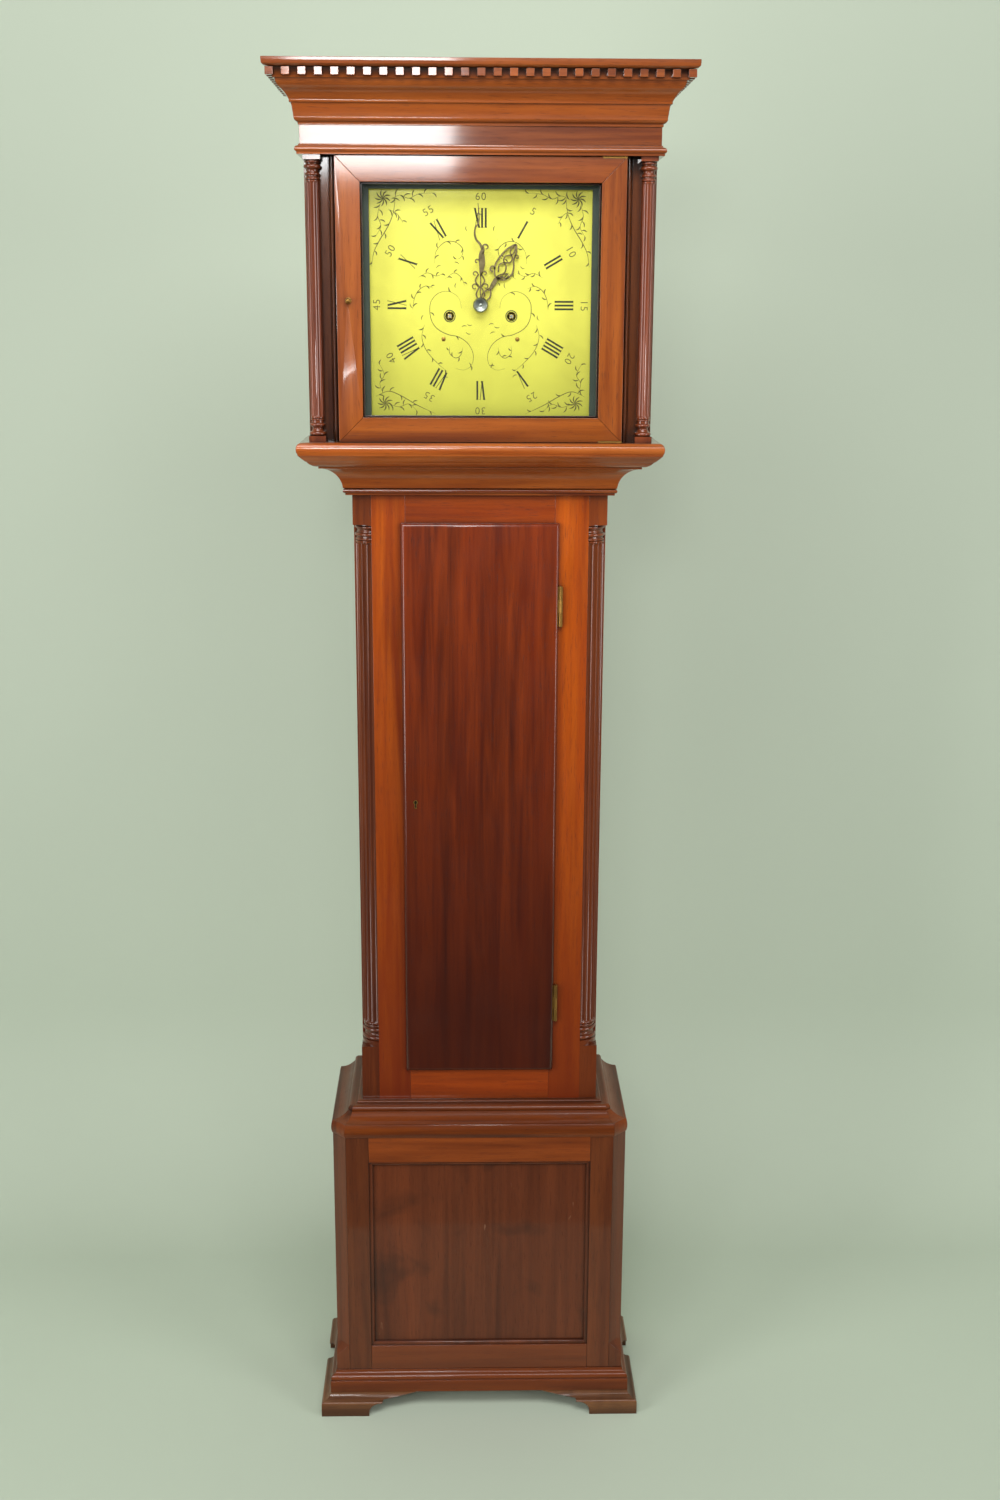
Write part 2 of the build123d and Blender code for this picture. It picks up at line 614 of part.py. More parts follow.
def make_bracket_feet():
    """Two mitred front feet and two rear feet, ogee outside and shaped below."""
    profile = bracket_profile()
    half, front, reach, length = PLINTH_HALF, PLINTH_FRONT, 24.0, 149.0
    glue = GLUE_LINE / sqrt(2)
    with BuildPart() as front_bracket:
        with BuildSketch(Plane(origin=(half + reach, front, 0), x_dir=(0, -1, 0), z_dir=(-1, 0, 0))) as section:
            add(profile)
        extrude(section.sketch, amount=length)
        with BuildSketch(Plane.XY) as plan:
            with BuildLine():
                Polyline((half + reach - length, front - reach), (half + reach - glue, front - reach),
                         (half - 14 - glue, front + 14), (half + reach - length, front + 14), close=True)
            make_face()
        extrude(plan.sketch, amount=FOOT_HEIGHT, mode=Mode.INTERSECT)
        elevation = Plane(origin=(half + reach - length, front + 20, 0), x_dir=(1, 0, 0), z_dir=(0, -1, 0))
        extrude(bracket_elevation(elevation), amount=60, mode=Mode.SUBTRACT)
    side_long = 120.0
    with BuildPart() as side_bracket:
        with BuildSketch(Plane(origin=(half, front - reach, 0), x_dir=(1, 0, 0), z_dir=(0, -1, 0))) as section:
            add(profile)
        extrude(section.sketch, amount=-side_long)
        with BuildSketch(Plane.XY) as plan:
            with BuildLine():
                Polyline((half + reach, front - reach), (half + reach, front - reach + side_long),
                         (half - 14, front - reach + side_long), (half - 14, front + 14), close=True)
            make_face()
        extrude(plan.sketch, amount=FOOT_HEIGHT, mode=Mode.INTERSECT)
        elevation = Plane(origin=(half - 20, front - reach + 149, 0), x_dir=(0, -1, 0), z_dir=(1, 0, 0))
        extrude(bracket_elevation(elevation), amount=60, mode=Mode.SUBTRACT)
    with BuildPart() as rear_foot:
        with BuildSketch(Plane(origin=(half, CASE_BACK, 0), x_dir=(1, 0, 0), z_dir=(0, -1, 0))) as section:
            add(profile)
        extrude(section.sketch, amount=side_long - 40)
        elevation = Plane(origin=(half - 20, CASE_BACK - side_long - 4, 0), x_dir=(0, 1, 0), z_dir=(1, 0, 0))
        extrude(bracket_elevation(elevation), amount=60, mode=Mode.SUBTRACT)
        slab(half - 60, half - 14 - GLUE_LINE, CASE_BACK - 20, CASE_BACK, 0, FOOT_HEIGHT)
    with BuildPart() as feet:
        for bracket in (front_bracket.part, side_bracket.part, rear_foot.part):
            add(bracket)
            mirror(bracket, about=Plane.YZ)
    save(feet.part, "bracket_feet")


def make_bottom_board():
    """The board inside the foot of the plinth."""
    inner = PLINTH_HALF - CANT
    with BuildPart() as board:
        slab(-inner, inner, PLINTH_FRONT + FRAME, CASE_BACK, FOOT_HEIGHT, FOOT_HEIGHT + BOTTOM_THICK)
    save(board.part, "bottom_board")


# Hood

def make_hood_base():
    """The frame that slides on the throat moulding, and the moulding round it."""
    low, high = HOOD_LOW, HOOD_SILL
    with BuildSketch() as profile:
        with BuildLine():
            Line((-22, low), (-9, low))
            ThreePointArc((-9, low), (-2.5, low + 3.5), (1, low + 7))
            Line((1, low + 7), (3, low + 8))
            ThreePointArc((3, low + 8), (8, low + 12.5), (12, low + 16.5))
            Line((12, low + 16.5), (12, low + 18))
            ThreePointArc((12, low + 18), (14, low + 24.5), (12, high - 2))
            Line((12, high - 2), (9, high))
            Line((9, high), (-22, high))
            Line((-22, high), (-22, low))
        make_face()
    inner = HOOD_HALF - 22
    rail = TRUNK_HALF + 6
    with BuildPart() as base:
        add(mitred(profile.sketch, HOOD_HALF, HOOD_FRONT, CASE_BACK, 14.1, 22, low, high))
        front = HOOD_FRONT + 22
        slab(-inner + GLUE_LINE, inner - GLUE_LINE, front + GLUE_LINE, front + 20, low, high)
        for side in (-1, 1):
            slab(*sorted((side * rail, side * (inner - GLUE_LINE))), front + 20 + GLUE_LINE, CASE_BACK, low, high)
        post(PIVOT_X, PIVOT_Y, PIVOT_RADIUS + RUNNING, high - 7, high, Mode.SUBTRACT, PIN_SIDES)
    save(base.part, "hood_base")


def make_hood_sides():
    """Plain side boards of the hood, standing on its base."""
    with BuildPart() as side:
        outer = HOOD_HALF - HOOD_SIDE_SET
        slab(outer - BOARD, outer, POST_BACK, CASE_BACK, HOOD_SILL, HOOD_HEAD)
    save(mirrored(side.part), "hood_sides")


def make_hood_posts():
    """Front posts behind the columns, with a bead beside the door."""
    with BuildPart() as upright:
        slab(POST_INNER, HOOD_HALF - HOOD_SIDE_SET, POST_FRONT, POST_BACK, HOOD_SILL, HOOD_HEAD)
        bead_x = HOOD_DOOR_HALF + 5
        slab(bead_x + 3.5, bead_x + 4.5, POST_FRONT, POST_FRONT + 1.5, HOOD_SILL, HOOD_HEAD, Mode.SUBTRACT)
        post(bead_x, POST_FRONT + 0.6, 3.0, HOOD_SILL, HOOD_HEAD, Mode.ADD, PIN_SIDES)
    save(mirrored(upright.part), "hood_posts")


def make_hood_columns():
    """Free standing fluted columns with turned caps and bases between square blocks."""
    y = HOOD_FRONT + COLUMN_BLOCK / 2
    shaft = HOOD_COLUMN_RADIUS - 1.2
    neck = shaft - 0.8
    block_low, block_high = HOOD_SILL + 9, HOOD_HEAD - 6
    base_top = block_low + 24
    capital_low = block_high - 26
    base = ((shaft + 2, block_low), (shaft + 2, block_low + 7), (neck, block_low + 11),
            (shaft + 1.2, block_low + 17), (neck, base_top))
    capital = ((neck, capital_low), (shaft + 1.2, capital_low + 6), (neck, capital_low + 11),
               (shaft + 2.1, capital_low + 21), (shaft + 2.1, block_high))
    with BuildPart() as column:
        for low, high in ((HOOD_SILL, block_low), (block_high, HOOD_HEAD)):
            slab(HOOD_COLUMN_X - COLUMN_BLOCK / 2, HOOD_COLUMN_X + COLUMN_BLOCK / 2, HOOD_FRONT,
                 HOOD_FRONT + COLUMN_BLOCK, low, high)
        turned(Plane.XY, HOOD_COLUMN_X, y, base, TURNED_SIDES)
        turned(Plane.XY, HOOD_COLUMN_X, y, capital, TURNED_SIDES)
        with BuildSketch(Plane.XY.offset(base_top)) as section:
            with BuildLine():
                fluted_outline(HOOD_COLUMN_X, y, shaft, 0, 45, 8, 1.0)
            make_face()
        extrude(section.sketch, amount=capital_low - base_top)
    save(mirrored(column.part), "hood_columns")


def make_dial_mask():
    """The mitred mask behind the door that frames the dial."""
    low, high = DIAL_Z - MASK_HALF, DIAL_Z + MASK_HALF
    width = POST_INNER - MASK_HALF
    y0 = POST_FRONT + 4
    with BuildPart() as mask:
        add(mitred_frame(POST_INNER, low - width, high + width, width, y0, y0 + MASK_THICK))
        slab(-POST_INNER, POST_INNER, y0, y0 + MASK_THICK, HOOD_SILL, low - width - GLUE_LINE)
        slab(-POST_INNER, POST_INNER, y0, y0 + MASK_THICK, high + width + GLUE_LINE, HOOD_HEAD)
    save(mask.part, "dial_mask")


def make_hood_frieze():
    """The architrave moulding over the door and the plain frieze boards behind the cornice."""
    low, high = HOOD_HEAD, FRIEZE_LOW
    with BuildSketch() as profile:
        with BuildLine():
            Line((-43, low), (4, low))
            Line((4, low), (4, low + 3))
            ThreePointArc((4, low + 3), (6.5, low + 6.5), (4, low + 10))
            Line((4, low + 10), (1.5, low + 11))
            Line((1.5, low + 11), (1.5, high))
            Line((1.5, high), (-43, high))
            Line((-43, high), (-43, low))
        make_face()
    with BuildSketch() as board:
        with Locations((-10, (high + CASE_HEIGHT - 10) / 2)):
            Rectangle(20, CASE_HEIGHT - 10 - high)
    with BuildPart() as frieze:
        add(mitred(profile.sketch, HOOD_HALF, HOOD_FRONT, CASE_BACK, 6.6, 43, low, high - GLUE_LINE))
        add(mitred(board.sketch, HOOD_HALF, HOOD_FRONT, CASE_BACK, 0, 20, high, CASE_HEIGHT - 10))
        post(PIVOT_X, PIVOT_Y, PIVOT_RADIUS + RUNNING, low, low + 7, Mode.SUBTRACT, PIN_SIDES)
    save(frieze.part, "hood_frieze")


def make_cornice():
    """Stepped cornice: fillet, ovolo, fascia, large ogee, dentil band and top slab."""
    low, high = CORNICE_LOW, CASE_HEIGHT
    with BuildSketch() as profile:
        with BuildLine():
            Line((0, low), (1.5, low))
            Line((1.5, low), (1.5, low + 4))
            ThreePointArc((1.5, low + 4), (5.4, low + 6), (6.5, low + 10))
            Line((6.5, low + 10), (7, low + 14))
            Line((7, low + 14), (9, low + 27))
            Line((9, low + 27), (11.5, low + 27))
            Line((11.5, low + 27), (11.5, low + 30))
            ThreePointArc((11.5, low + 30), (15.2, low + 36.5), (20, low + 42))
            ThreePointArc((20, low + 42), (25.5, low + 47.5), (27.5, low + 54.5))
            Line((27.5, low + 54.5), (30.5, low + 54.5))
            Line((30.5, low + 54.5), (30.5, high - 11))
            Line((30.5, high - 11), (40, high - 10))
            Line((40, high - 10), (42.5, high - 8))
            Line((42.5, high - 8), (CORNICE_PROJECTION, high - 4))
            Line((CORNICE_PROJECTION, high - 4), (CORNICE_PROJECTION, high))
            Line((CORNICE_PROJECTION, high), (0, high))
            Line((0, high), (0, low))
        make_face()
    save(mitred(profile.sketch, HOOD_HALF, HOOD_FRONT, CASE_BACK, CORNICE_PROJECTION, 0, low, high), "cornice")


def make_dentils():
    """A row of small blocks along the band, returned along both sides."""
    band, face = 30.5 + GLUE_LINE, 38.5
    low, high = CASE_HEIGHT - 21.2, CASE_HEIGHT - 11.3
    front = HOOD_FRONT - band
    reach = HOOD_HALF + face
    across = int((reach - DENTIL_WIDTH / 2) / DENTIL_PITCH)
    pitch = (reach - DENTIL_WIDTH / 2) / across
    side_first = HOOD_FRONT - face + DENTIL_WIDTH / 2
    along = int((CASE_BACK - DENTIL_WIDTH / 2 - side_first) / pitch)
    with BuildPart() as dentils:
        with BuildSketch(Plane.XY.offset(low)) as front_row:
            places = [(step * pitch, front - (face - band) / 2) for step in range(-across, across + 1)]
            with Locations(*places):
                Rectangle(DENTIL_WIDTH, face - band)
        extrude(front_row.sketch, amount=high - low)
        with BuildSketch(Plane.XY.offset(low)) as side_rows:
            for side in (-1, 1):
                x = side * (HOOD_HALF + (face + band) / 2)
                places = [(x, side_first + step * pitch) for step in range(1, along + 1)]
                with Locations(*places):
                    Rectangle(face - band, DENTIL_WIDTH)
        extrude(side_rows.sketch, amount=high - low)
    save(dentils.part, "dentils")


def make_hood_top():
    """The dust board across the top."""
    with BuildPart() as board:
        inner = HOOD_HALF - GLUE_LINE
        slab(-inner, inner, HOOD_FRONT + GLUE_LINE, CASE_BACK, CASE_HEIGHT - 10, CASE_HEIGHT)
    save(board.part, "hood_top")


# Hood door

DOOR_LOW = HOOD_SILL + HOOD_DOOR_GAP
DOOR_HIGH = HOOD_HEAD - HOOD_DOOR_GAP
DOOR_BACK = HOOD_FRONT + HOOD_DOOR_THICK
POST_FRONT = HOOD_FRONT + COLUMN_BLOCK
POST_BACK = POST_FRONT + POST_THICK
STRAP = 2.0


def make_hood_door_frame():
    """Four members mitred together, rebated for the glass, with recesses for the pivot straps."""
    with BuildPart() as frame:
        add(mitred_frame(HOOD_DOOR_HALF, DOOR_LOW, DOOR_HIGH, HOOD_DOOR_FRAME, HOOD_FRONT, DOOR_BACK,
                         GLASS_REBATE, 10))
        for low, high in ((DOOR_LOW, DOOR_LOW + STRAP), (DOOR_HIGH - STRAP, DOOR_HIGH)):
            slab(HOOD_DOOR_HALF - 32, HOOD_DOOR_HALF, HOOD_FRONT, HOOD_FRONT + 14, low, high, Mode.SUBTRACT)
        disc(KNOB_X, KNOB_Z, 1.5, HOOD_FRONT, HOOD_FRONT + 8, Mode.SUBTRACT, ARBOR_SIDES)
    save(frame.part, "hood_door_frame")


def make_hood_glass():
    """The pane, seated in the rebate."""
    half = HOOD_DOOR_HALF - HOOD_DOOR_FRAME + GLASS_REBATE - 0.3
    seat = DOOR_BACK - 10
    with BuildPart() as glass:
        slab(-half, half, seat, seat + GLASS_THICK, DOOR_LOW + HOOD_DOOR_FRAME - GLASS_REBATE + 0.3,
             DOOR_HIGH - HOOD_DOOR_FRAME + GLASS_REBATE - 0.3)
    save(glass.part, "hood_glass")


def make_hood_knob():
    """Small turned brass knob on the left of the hood door."""
    with BuildPart() as knob:
        outline = ((4.2, 0), (4.2, 1), (2.4, 2.5), (4.8, 5.5), (3.2, 9))
        turned(Plane.XZ.offset(-HOOD_FRONT), KNOB_X, KNOB_Z, outline, TURNED_SIDES)
        disc(KNOB_X, KNOB_Z, 1.4, HOOD_FRONT, HOOD_FRONT + 7.5, Mode.ADD, ARBOR_SIDES)
    save(knob.part, "hood_door_knob")


def make_hood_door_hinges():
    """Brass straps let into the door's edges, each with a pivot pin into the hood."""
    with BuildPart() as straps:
        for low, pin_low, pin_high in ((DOOR_LOW, HOOD_SILL - 6, DOOR_LOW + STRAP),
                                       (DOOR_HIGH - STRAP, DOOR_HIGH - STRAP, HOOD_HEAD + 6)):
            slab(HOOD_DOOR_HALF - 32 + 0.1, HOOD_DOOR_HALF, HOOD_FRONT, HOOD_FRONT + 13.9, low, low + STRAP)
            post(PIVOT_X, PIVOT_Y, PIVOT_RADIUS - PIN_EASE, pin_low, pin_high, Mode.ADD, PIN_SIDES)
    save(straps.part, "hood_door_hinges")


# Trunk door

def make_trunk_door():
    """One board with a thumbnail lip that covers the frame, and a mortise for the lock."""
    lip_front = TRUNK_FRONT - SLIDE_GAP - LIP_THICK
    body_half = TRUNK_DOOR_HALF - LIP_COVER - DOOR_GAP
    back = TRUNK_FRONT + DOOR_BODY
    with BuildPart() as door:
        slab(-TRUNK_DOOR_HALF, TRUNK_DOOR_HALF, lip_front, TRUNK_FRONT - SLIDE_GAP, TRUNK_DOOR_LOW, TRUNK_DOOR_HIGH)
        fillet(door.faces().sort_by(Axis.Y)[0].edges(), radius=5.5)
        slab(-body_half, body_half, TRUNK_FRONT - SLIDE_GAP, back, TRUNK_DOOR_LOW + LIP_COVER + DOOR_GAP,
             TRUNK_DOOR_HIGH - LIP_COVER - DOOR_GAP)
        for centre in HINGE_CENTRES:
            slab(TRUNK_DOOR_HALF - LEAF, TRUNK_DOOR_HALF, lip_front, TRUNK_FRONT - SLIDE_GAP,
                 centre - HINGE_LENGTH / 2, centre + HINGE_LENGTH / 2, Mode.SUBTRACT)
        slab(-body_half, -body_half + LOCK_BACKSET, back - LOCK_DEEP, back, LOCK_Z - LOCK_HIGH / 2,
             LOCK_Z + LOCK_HIGH / 2, Mode.SUBTRACT)
        disc(LOCK_X, LOCK_Z + 3, 3.2, lip_front, back, Mode.SUBTRACT)
        slab(LOCK_X - 1.6, LOCK_X + 1.6, lip_front, back, LOCK_Z - 6.5, LOCK_Z + 3, Mode.SUBTRACT)
    save(door.part, "trunk_door")


def make_trunk_lock():
    """Lock case in its mortise, and the brass lining of the keyhole."""
    back = TRUNK_FRONT + DOOR_BODY
    body_half = TRUNK_DOOR_HALF - LIP_COVER - DOOR_GAP
    lip_front = TRUNK_FRONT - SLIDE_GAP - LIP_THICK
    with BuildPart() as lock:
        slab(-body_half, -body_half + LOCK_BACKSET, back - LOCK_DEEP, back, LOCK_Z - LOCK_HIGH / 2,
             LOCK_Z + LOCK_HIGH / 2)
        middle = back - LOCK_DEEP / 2
        slab(-body_half, -body_half + BOLT[0] + 1, middle - BOLT[1] / 2 - BOLT_GAP, middle + BOLT[1] / 2 + BOLT_GAP,
             LOCK_Z - BOLT[2] / 2 - BOLT_GAP, LOCK_Z + BOLT[2] / 2 + BOLT_GAP, Mode.SUBTRACT)
        with BuildSketch(Plane.XZ.offset(-lip_front - 5)) as rim:
            with Locations((LOCK_X, LOCK_Z + 3)):
                Circle(3.2)
            with Locations((LOCK_X, LOCK_Z - 1.75)):
                Rectangle(3.2, 9.5)
            with Locations((LOCK_X, LOCK_Z + 3)):
                Circle(2.2, mode=Mode.SUBTRACT)
            with Locations((LOCK_X, LOCK_Z - 1.5)):
                Rectangle(1.6, 8, mode=Mode.SUBTRACT)
        extrude(rim.sketch, amount=5.3)
    save(lock.part, "trunk_lock")


def make_lock_bolt():
    """The bolt that shoots into the stile."""
    middle = TRUNK_FRONT + DOOR_BODY - LOCK_DEEP / 2
    left = -(TRUNK_DOOR_HALF - LIP_COVER - DOOR_GAP)
    with BuildPart() as bolt:
        slab(left, left + BOLT[0], middle - BOLT[1] / 2, middle + BOLT[1] / 2, LOCK_Z - BOLT[2] / 2,
             LOCK_Z + BOLT[2] / 2)
    save(bolt.part, "lock_bolt")


def make_trunk_hinges():
    """Two butt hinges: the case leaves hold the pins, the door leaves turn on them."""
    third = HINGE_LENGTH / 3
    lip_front = TRUNK_FRONT - SLIDE_GAP - LIP_THICK
    with BuildPart() as case_leaves:
        for centre in HINGE_CENTRES:
            low = centre - HINGE_LENGTH / 2
            slab(HINGE_X - LEAF / 2, HINGE_X + LEAF / 2, TRUNK_FRONT - 1.6, TRUNK_FRONT + 8, low, low + HINGE_LENGTH)
            for base in (low, low + 2 * third):
                slab(HINGE_X - LEAF / 2, HINGE_X + LEAF / 2, HINGE_Y, TRUNK_FRONT, base, base + third)
                post(HINGE_X, HINGE_Y, KNUCKLE, base, base + third, Mode.ADD, PIN_SIDES)
            post(HINGE_X, HINGE_Y, HINGE_PIN, low + third, low + 2 * third, Mode.ADD, PIN_SIDES)
    save(case_leaves.part, "trunk_hinges_case")
    with BuildPart() as door_leaves:
        for centre in HINGE_CENTRES:
            low = centre - HINGE_LENGTH / 2
            slab(TRUNK_DOOR_HALF - LEAF, TRUNK_DOOR_HALF, lip_front + 2.5, TRUNK_FRONT - SLIDE_GAP, low,
                 low + HINGE_LENGTH)
            knuckle_low, knuckle_high = low + third + 0.3, low + 2 * third - 0.3
            slab(TRUNK_DOOR_HALF - LEAF, HINGE_X, HINGE_Y - 0.6, HINGE_Y + 0.6, knuckle_low, knuckle_high)
            post(HINGE_X, HINGE_Y, KNUCKLE, knuckle_low, knuckle_high, Mode.ADD, PIN_SIDES)
            post(HINGE_X, HINGE_Y, HINGE_PIN + 0.1, knuckle_low, knuckle_high, Mode.SUBTRACT, PIN_SIDES)
    save(door_leaves.part, "trunk_hinges_door")


# Wheels of the movement

TOOTH_HEIGHT = 0.9
TOOTH_DEPTH = 1.0
PINION_ROOT = 0.25


def wheel_outline(x, z, teeth, module, root, phase, y):
    """Pointed wheel teeth: two flanks to each tip, with a flat root between them if it is asked for."""
    height, depth = TOOTH_HEIGHT * module, TOOTH_DEPTH * module
    radius = module * teeth / 2
    pitch = 2 * pi / teeth
    points = []
    for tooth in range(teeth):
        start = phase + tooth * pitch
        for share, reach in ((-root, -depth), (0, height), (root, -depth))[:3 if root < 0.5 else 2]:
            angle = start + share * pitch
            points.append((x + (radius + reach) * cos(angle), z + (radius + reach) * sin(angle)))
    with BuildSketch(Plane.XZ.offset(-y)) as outline:
        with BuildLine():
            Polyline(*points, close=True)
        make_face()
    return outline.sketch


def toothed(x, z, teeth, module, y0, y1, phase=0.0, root=0.5):
    """A toothed wheel or pinion between two planes."""
    extrude(wheel_outline(x, z, teeth, module, root, phase, y1), amount=y1 - y0)


def crossed_out(x, z, outer, inner, y0, y1):
    """Four windows that leave spokes and a rim."""
    with BuildSketch(Plane.XZ.offset(-y1)) as windows:
        with Locations((x, z)):
            RegularPolygon(outer, 16, rotation=11.25)
            RegularPolygon(inner, 8, rotation=22.5, mode=Mode.SUBTRACT)
            Rectangle(2 * outer, 2.4, mode=Mode.SUBTRACT)
            Rectangle(2.4, 2 * outer, mode=Mode.SUBTRACT)
    extrude(windows.sketch, amount=y1 - y0, mode=Mode.SUBTRACT)


def in_mesh(from_x, from_z, to_x, to_z, teeth_from, teeth_to, phase_from):
    """Phase of the second wheel so that its gap takes the first wheel's tooth on the line of centres."""
    line = atan2(to_z - from_z, to_x - from_x)
    along = (line - phase_from) * teeth_from / (2 * pi)
    offset = along - round(along)
    return line + pi + pi / teeth_to + offset * 2 * pi / teeth_to


CENTRE = (0.0, DIAL_Z)
GOING = (WINDING_X, BARREL_Z)
STRIKE = (-WINDING_X, BARREL_Z)
GREAT_MODULE = 2 * sqrt(WINDING_X ** 2 + WINDING_DROP ** 2) / (GREAT_TEETH + PINION_TEETH)
THIRD_REACH = CENTRE_MODULE * (CENTRE_TEETH + PINION_TEETH) / 2
ESCAPE_REACH = THIRD_MODULE * (THIRD_TEETH + ESCAPE_PINION_TEETH) / 2
THIRD_UP = (THIRD_REACH ** 2 - ESCAPE_REACH ** 2 + ESCAPE_RISE ** 2) / (2 * ESCAPE_RISE)
THIRD = (sqrt(THIRD_REACH ** 2 - THIRD_UP ** 2), DIAL_Z + THIRD_UP)
ESCAPE = (0.0, DIAL_Z + ESCAPE_RISE)
PIN_REACH = STRIKE_MODULE * (STRIKE_TEETH + PINION_TEETH) / 2
PIN_WHEEL = (STRIKE[0] + 9.0, STRIKE[1] + sqrt(PIN_REACH ** 2 - 81.0))
MINUTE_WHEEL = (0.0, DIAL_Z - CANNON_MODULE * CANNON_TEETH)
HOUR_MODULE = 2 * CANNON_MODULE * CANNON_TEETH / (HOUR_TEETH + HOUR_PINION_TEETH)
HAMMER = (-62.0, DIAL_Z + 50.0)
INSIDE_FRONT = FRONT_PLATE_Y + PLATE
GREAT_PLANE = INSIDE_FRONT + 3.0
ARBORS = (GOING, STRIKE, CENTRE, THIRD, ESCAPE, PIN_WHEEL, HAMMER, (0.0, ANCHOR_Z))
THICK_ARBOR = 4.0
CENTRE_PIVOT = 2.0
FINE_ARBOR = 1.6


ARBOR_SIDES = 10
ARBOR_EASE = 1 - cos(pi / ARBOR_SIDES)


def arbor_radius(place):
    """Barrel arbors are thick, the centre arbor is middling and the rest are fine."""
    if place in (GOING, STRIKE):
        return THICK_ARBOR
    return CENTRE_PIVOT if place == CENTRE else FINE_ARBOR


def arbor(place, y0, y1):
    """A plain arbor, just small enough to turn in its holes."""
    radius = arbor_radius(place)
    disc(place[0], place[1], radius * (1 - ARBOR_EASE), y0, y1, Mode.ADD, ARBOR_SIDES)


def make_movement_plates():
    """Front and back plates with a hole for every pivot."""
    with BuildPart() as plates:
        for y in (FRONT_PLATE_Y, BACK_PLATE_Y):
            slab(-PLATE_HALF, PLATE_HALF, y, y + PLATE, SEAT_TOP, SEAT_TOP + PLATE_HIGH)
            for place in ARBORS:
                fit = arbor_radius(place) + PIVOT_FIT
                disc(place[0], place[1], fit, y, y + PLATE, Mode.SUBTRACT, ARBOR_SIDES)
        disc(0, ANCHOR_Z, 5, BACK_PLATE_Y, BACK_PLATE_Y + PLATE, Mode.SUBTRACT, ARBOR_SIDES)
    save(plates.part, "movement_plates")


def make_pillars():
    """Four turned pillars between the plates, four dial feet and the stud of the minute wheel."""
    spread, low, high = PLATE_HALF - 8, SEAT_TOP + 9, SEAT_TOP + PLATE_HIGH - 9
    with BuildPart() as pillars:
        for x in (-spread, spread):
            for z in (low, high):
                disc(x, z, 4.5, INSIDE_FRONT, BACK_PLATE_Y, Mode.ADD, ARBOR_SIDES)
                disc(x, z, 3.5, DIAL_Y + DIAL_THICK, FRONT_PLATE_Y, Mode.ADD, ARBOR_SIDES)
        disc(MINUTE_WHEEL[0], MINUTE_WHEEL[1], 1.5 * (1 - ARBOR_EASE), FRONT_PLATE_Y - 16, FRONT_PLATE_Y,
             Mode.ADD, ARBOR_SIDES)
    save(pillars.part, "movement_pillars")


def make_dial_plate():
    """Square brass dial with holes for the hands and the winding squares."""
    half = DIAL_SIDE / 2
    with BuildPart() as dial:
        slab(-half, half, DIAL_Y, DIAL_Y + DIAL_THICK, DIAL_Z - half, DIAL_Z + half)
        disc(0, DIAL_Z, 6.5, DIAL_Y, DIAL_Y + DIAL_THICK, Mode.SUBTRACT, TURNED_SIDES)
        for x in (-WINDING_X, WINDING_X):
            disc(x, BARREL_Z, WINDING_HOLE, DIAL_Y, DIAL_Y + DIAL_THICK, Mode.SUBTRACT, 24)
    save(dial.part, "dial_plate")


def make_cocks():
    """Back cock for the anchor and the pendulum's spring, and the bell stand."""
    back = BACK_PLATE_Y + PLATE
    with BuildPart() as cocks:
        slab(-22, 22, back, back + 4, ANCHOR_Z - 8, ANCHOR_Z + 8)
        disc(0, ANCHOR_Z, 6, back, back + 4, Mode.SUBTRACT, ARBOR_SIDES)
        for side in (-1, 1):
            slab(*sorted((side * 12, side * 22)), back + 4, PENDULUM_Y + 8, ANCHOR_Z - 8, ANCHOR_Z + 8)
        slab(-12, 12, PENDULUM_Y - 7, PENDULUM_Y + 8, ANCHOR_Z - 6, ANCHOR_Z - 1)
        slab(-12, 12, back + 8, back + 11, ANCHOR_Z - 6, ANCHOR_Z + 8)
        disc(0, ANCHOR_Z, FINE_ARBOR + PIVOT_FIT, back + 8, back + 11, Mode.SUBTRACT, ARBOR_SIDES)
        slab(-0.9, 0.9, PENDULUM_Y - 7, PENDULUM_Y + 8, ANCHOR_Z - 6, ANCHOR_Z - 1, Mode.SUBTRACT)
        top = SEAT_TOP + PLATE_HIGH
        slab(34, 46, back, back + 3, top - 24, BELL_Z + BELL_RADIUS * 0.62 + 10)
        slab(-5, 46, BELL_Y - 5, back + 3, BELL_Z + BELL_RADIUS * 0.62 + 7, BELL_Z + BELL_RADIUS * 0.62 + 10)
        post(0, BELL_Y, 2.5, BELL_Z + BELL_RADIUS * 0.62 + 0.1, BELL_Z + BELL_RADIUS * 0.62 + 7, Mode.ADD, 8)
    save(cocks.part, "movement_cocks")


def make_bell():
    """Cast bell with a flared rim, mouth down."""
    rise = BELL_RADIUS * 0.62
    with BuildPart() as bell:
        outline = ((BELL_RADIUS, 0), (BELL_RADIUS - 7, rise * 0.45), (BELL_RADIUS - 17, rise * 0.85), (6, rise))
        hollow = [(radius - 2.5, max(level - 2.5, 0)) for radius, level in outline]
        mouth = Plane.XY.offset(BELL_Z)
        turned(mouth, 0, BELL_Y, outline, TURNED_SIDES)
        turned(mouth, 0, BELL_Y, hollow, TURNED_SIDES, Mode.SUBTRACT)
    save(bell.part, "bell")


def make_barrel(name, place):
    """Barrel with end flanges on its winding arbor, squared for the key behind the dial's hole."""
    x, z = place
    end = BARREL_FRONT + BARREL_LONG
    with BuildPart() as barrel:
        disc(x, z, BARREL_RADIUS, BARREL_FRONT, end)
        arbor(place, FRONT_PLATE_Y - 6, BACK_PLATE_Y + PLATE + 1)
        with BuildSketch(Plane.XZ.offset(-(FRONT_PLATE_Y - 6))) as square:
            with Locations((x, z)):
                Rectangle(5.4, 5.4)
        extrude(square.sketch, amount=FRONT_PLATE_Y - 6 - DIAL_Y)
    save(barrel.part, name)


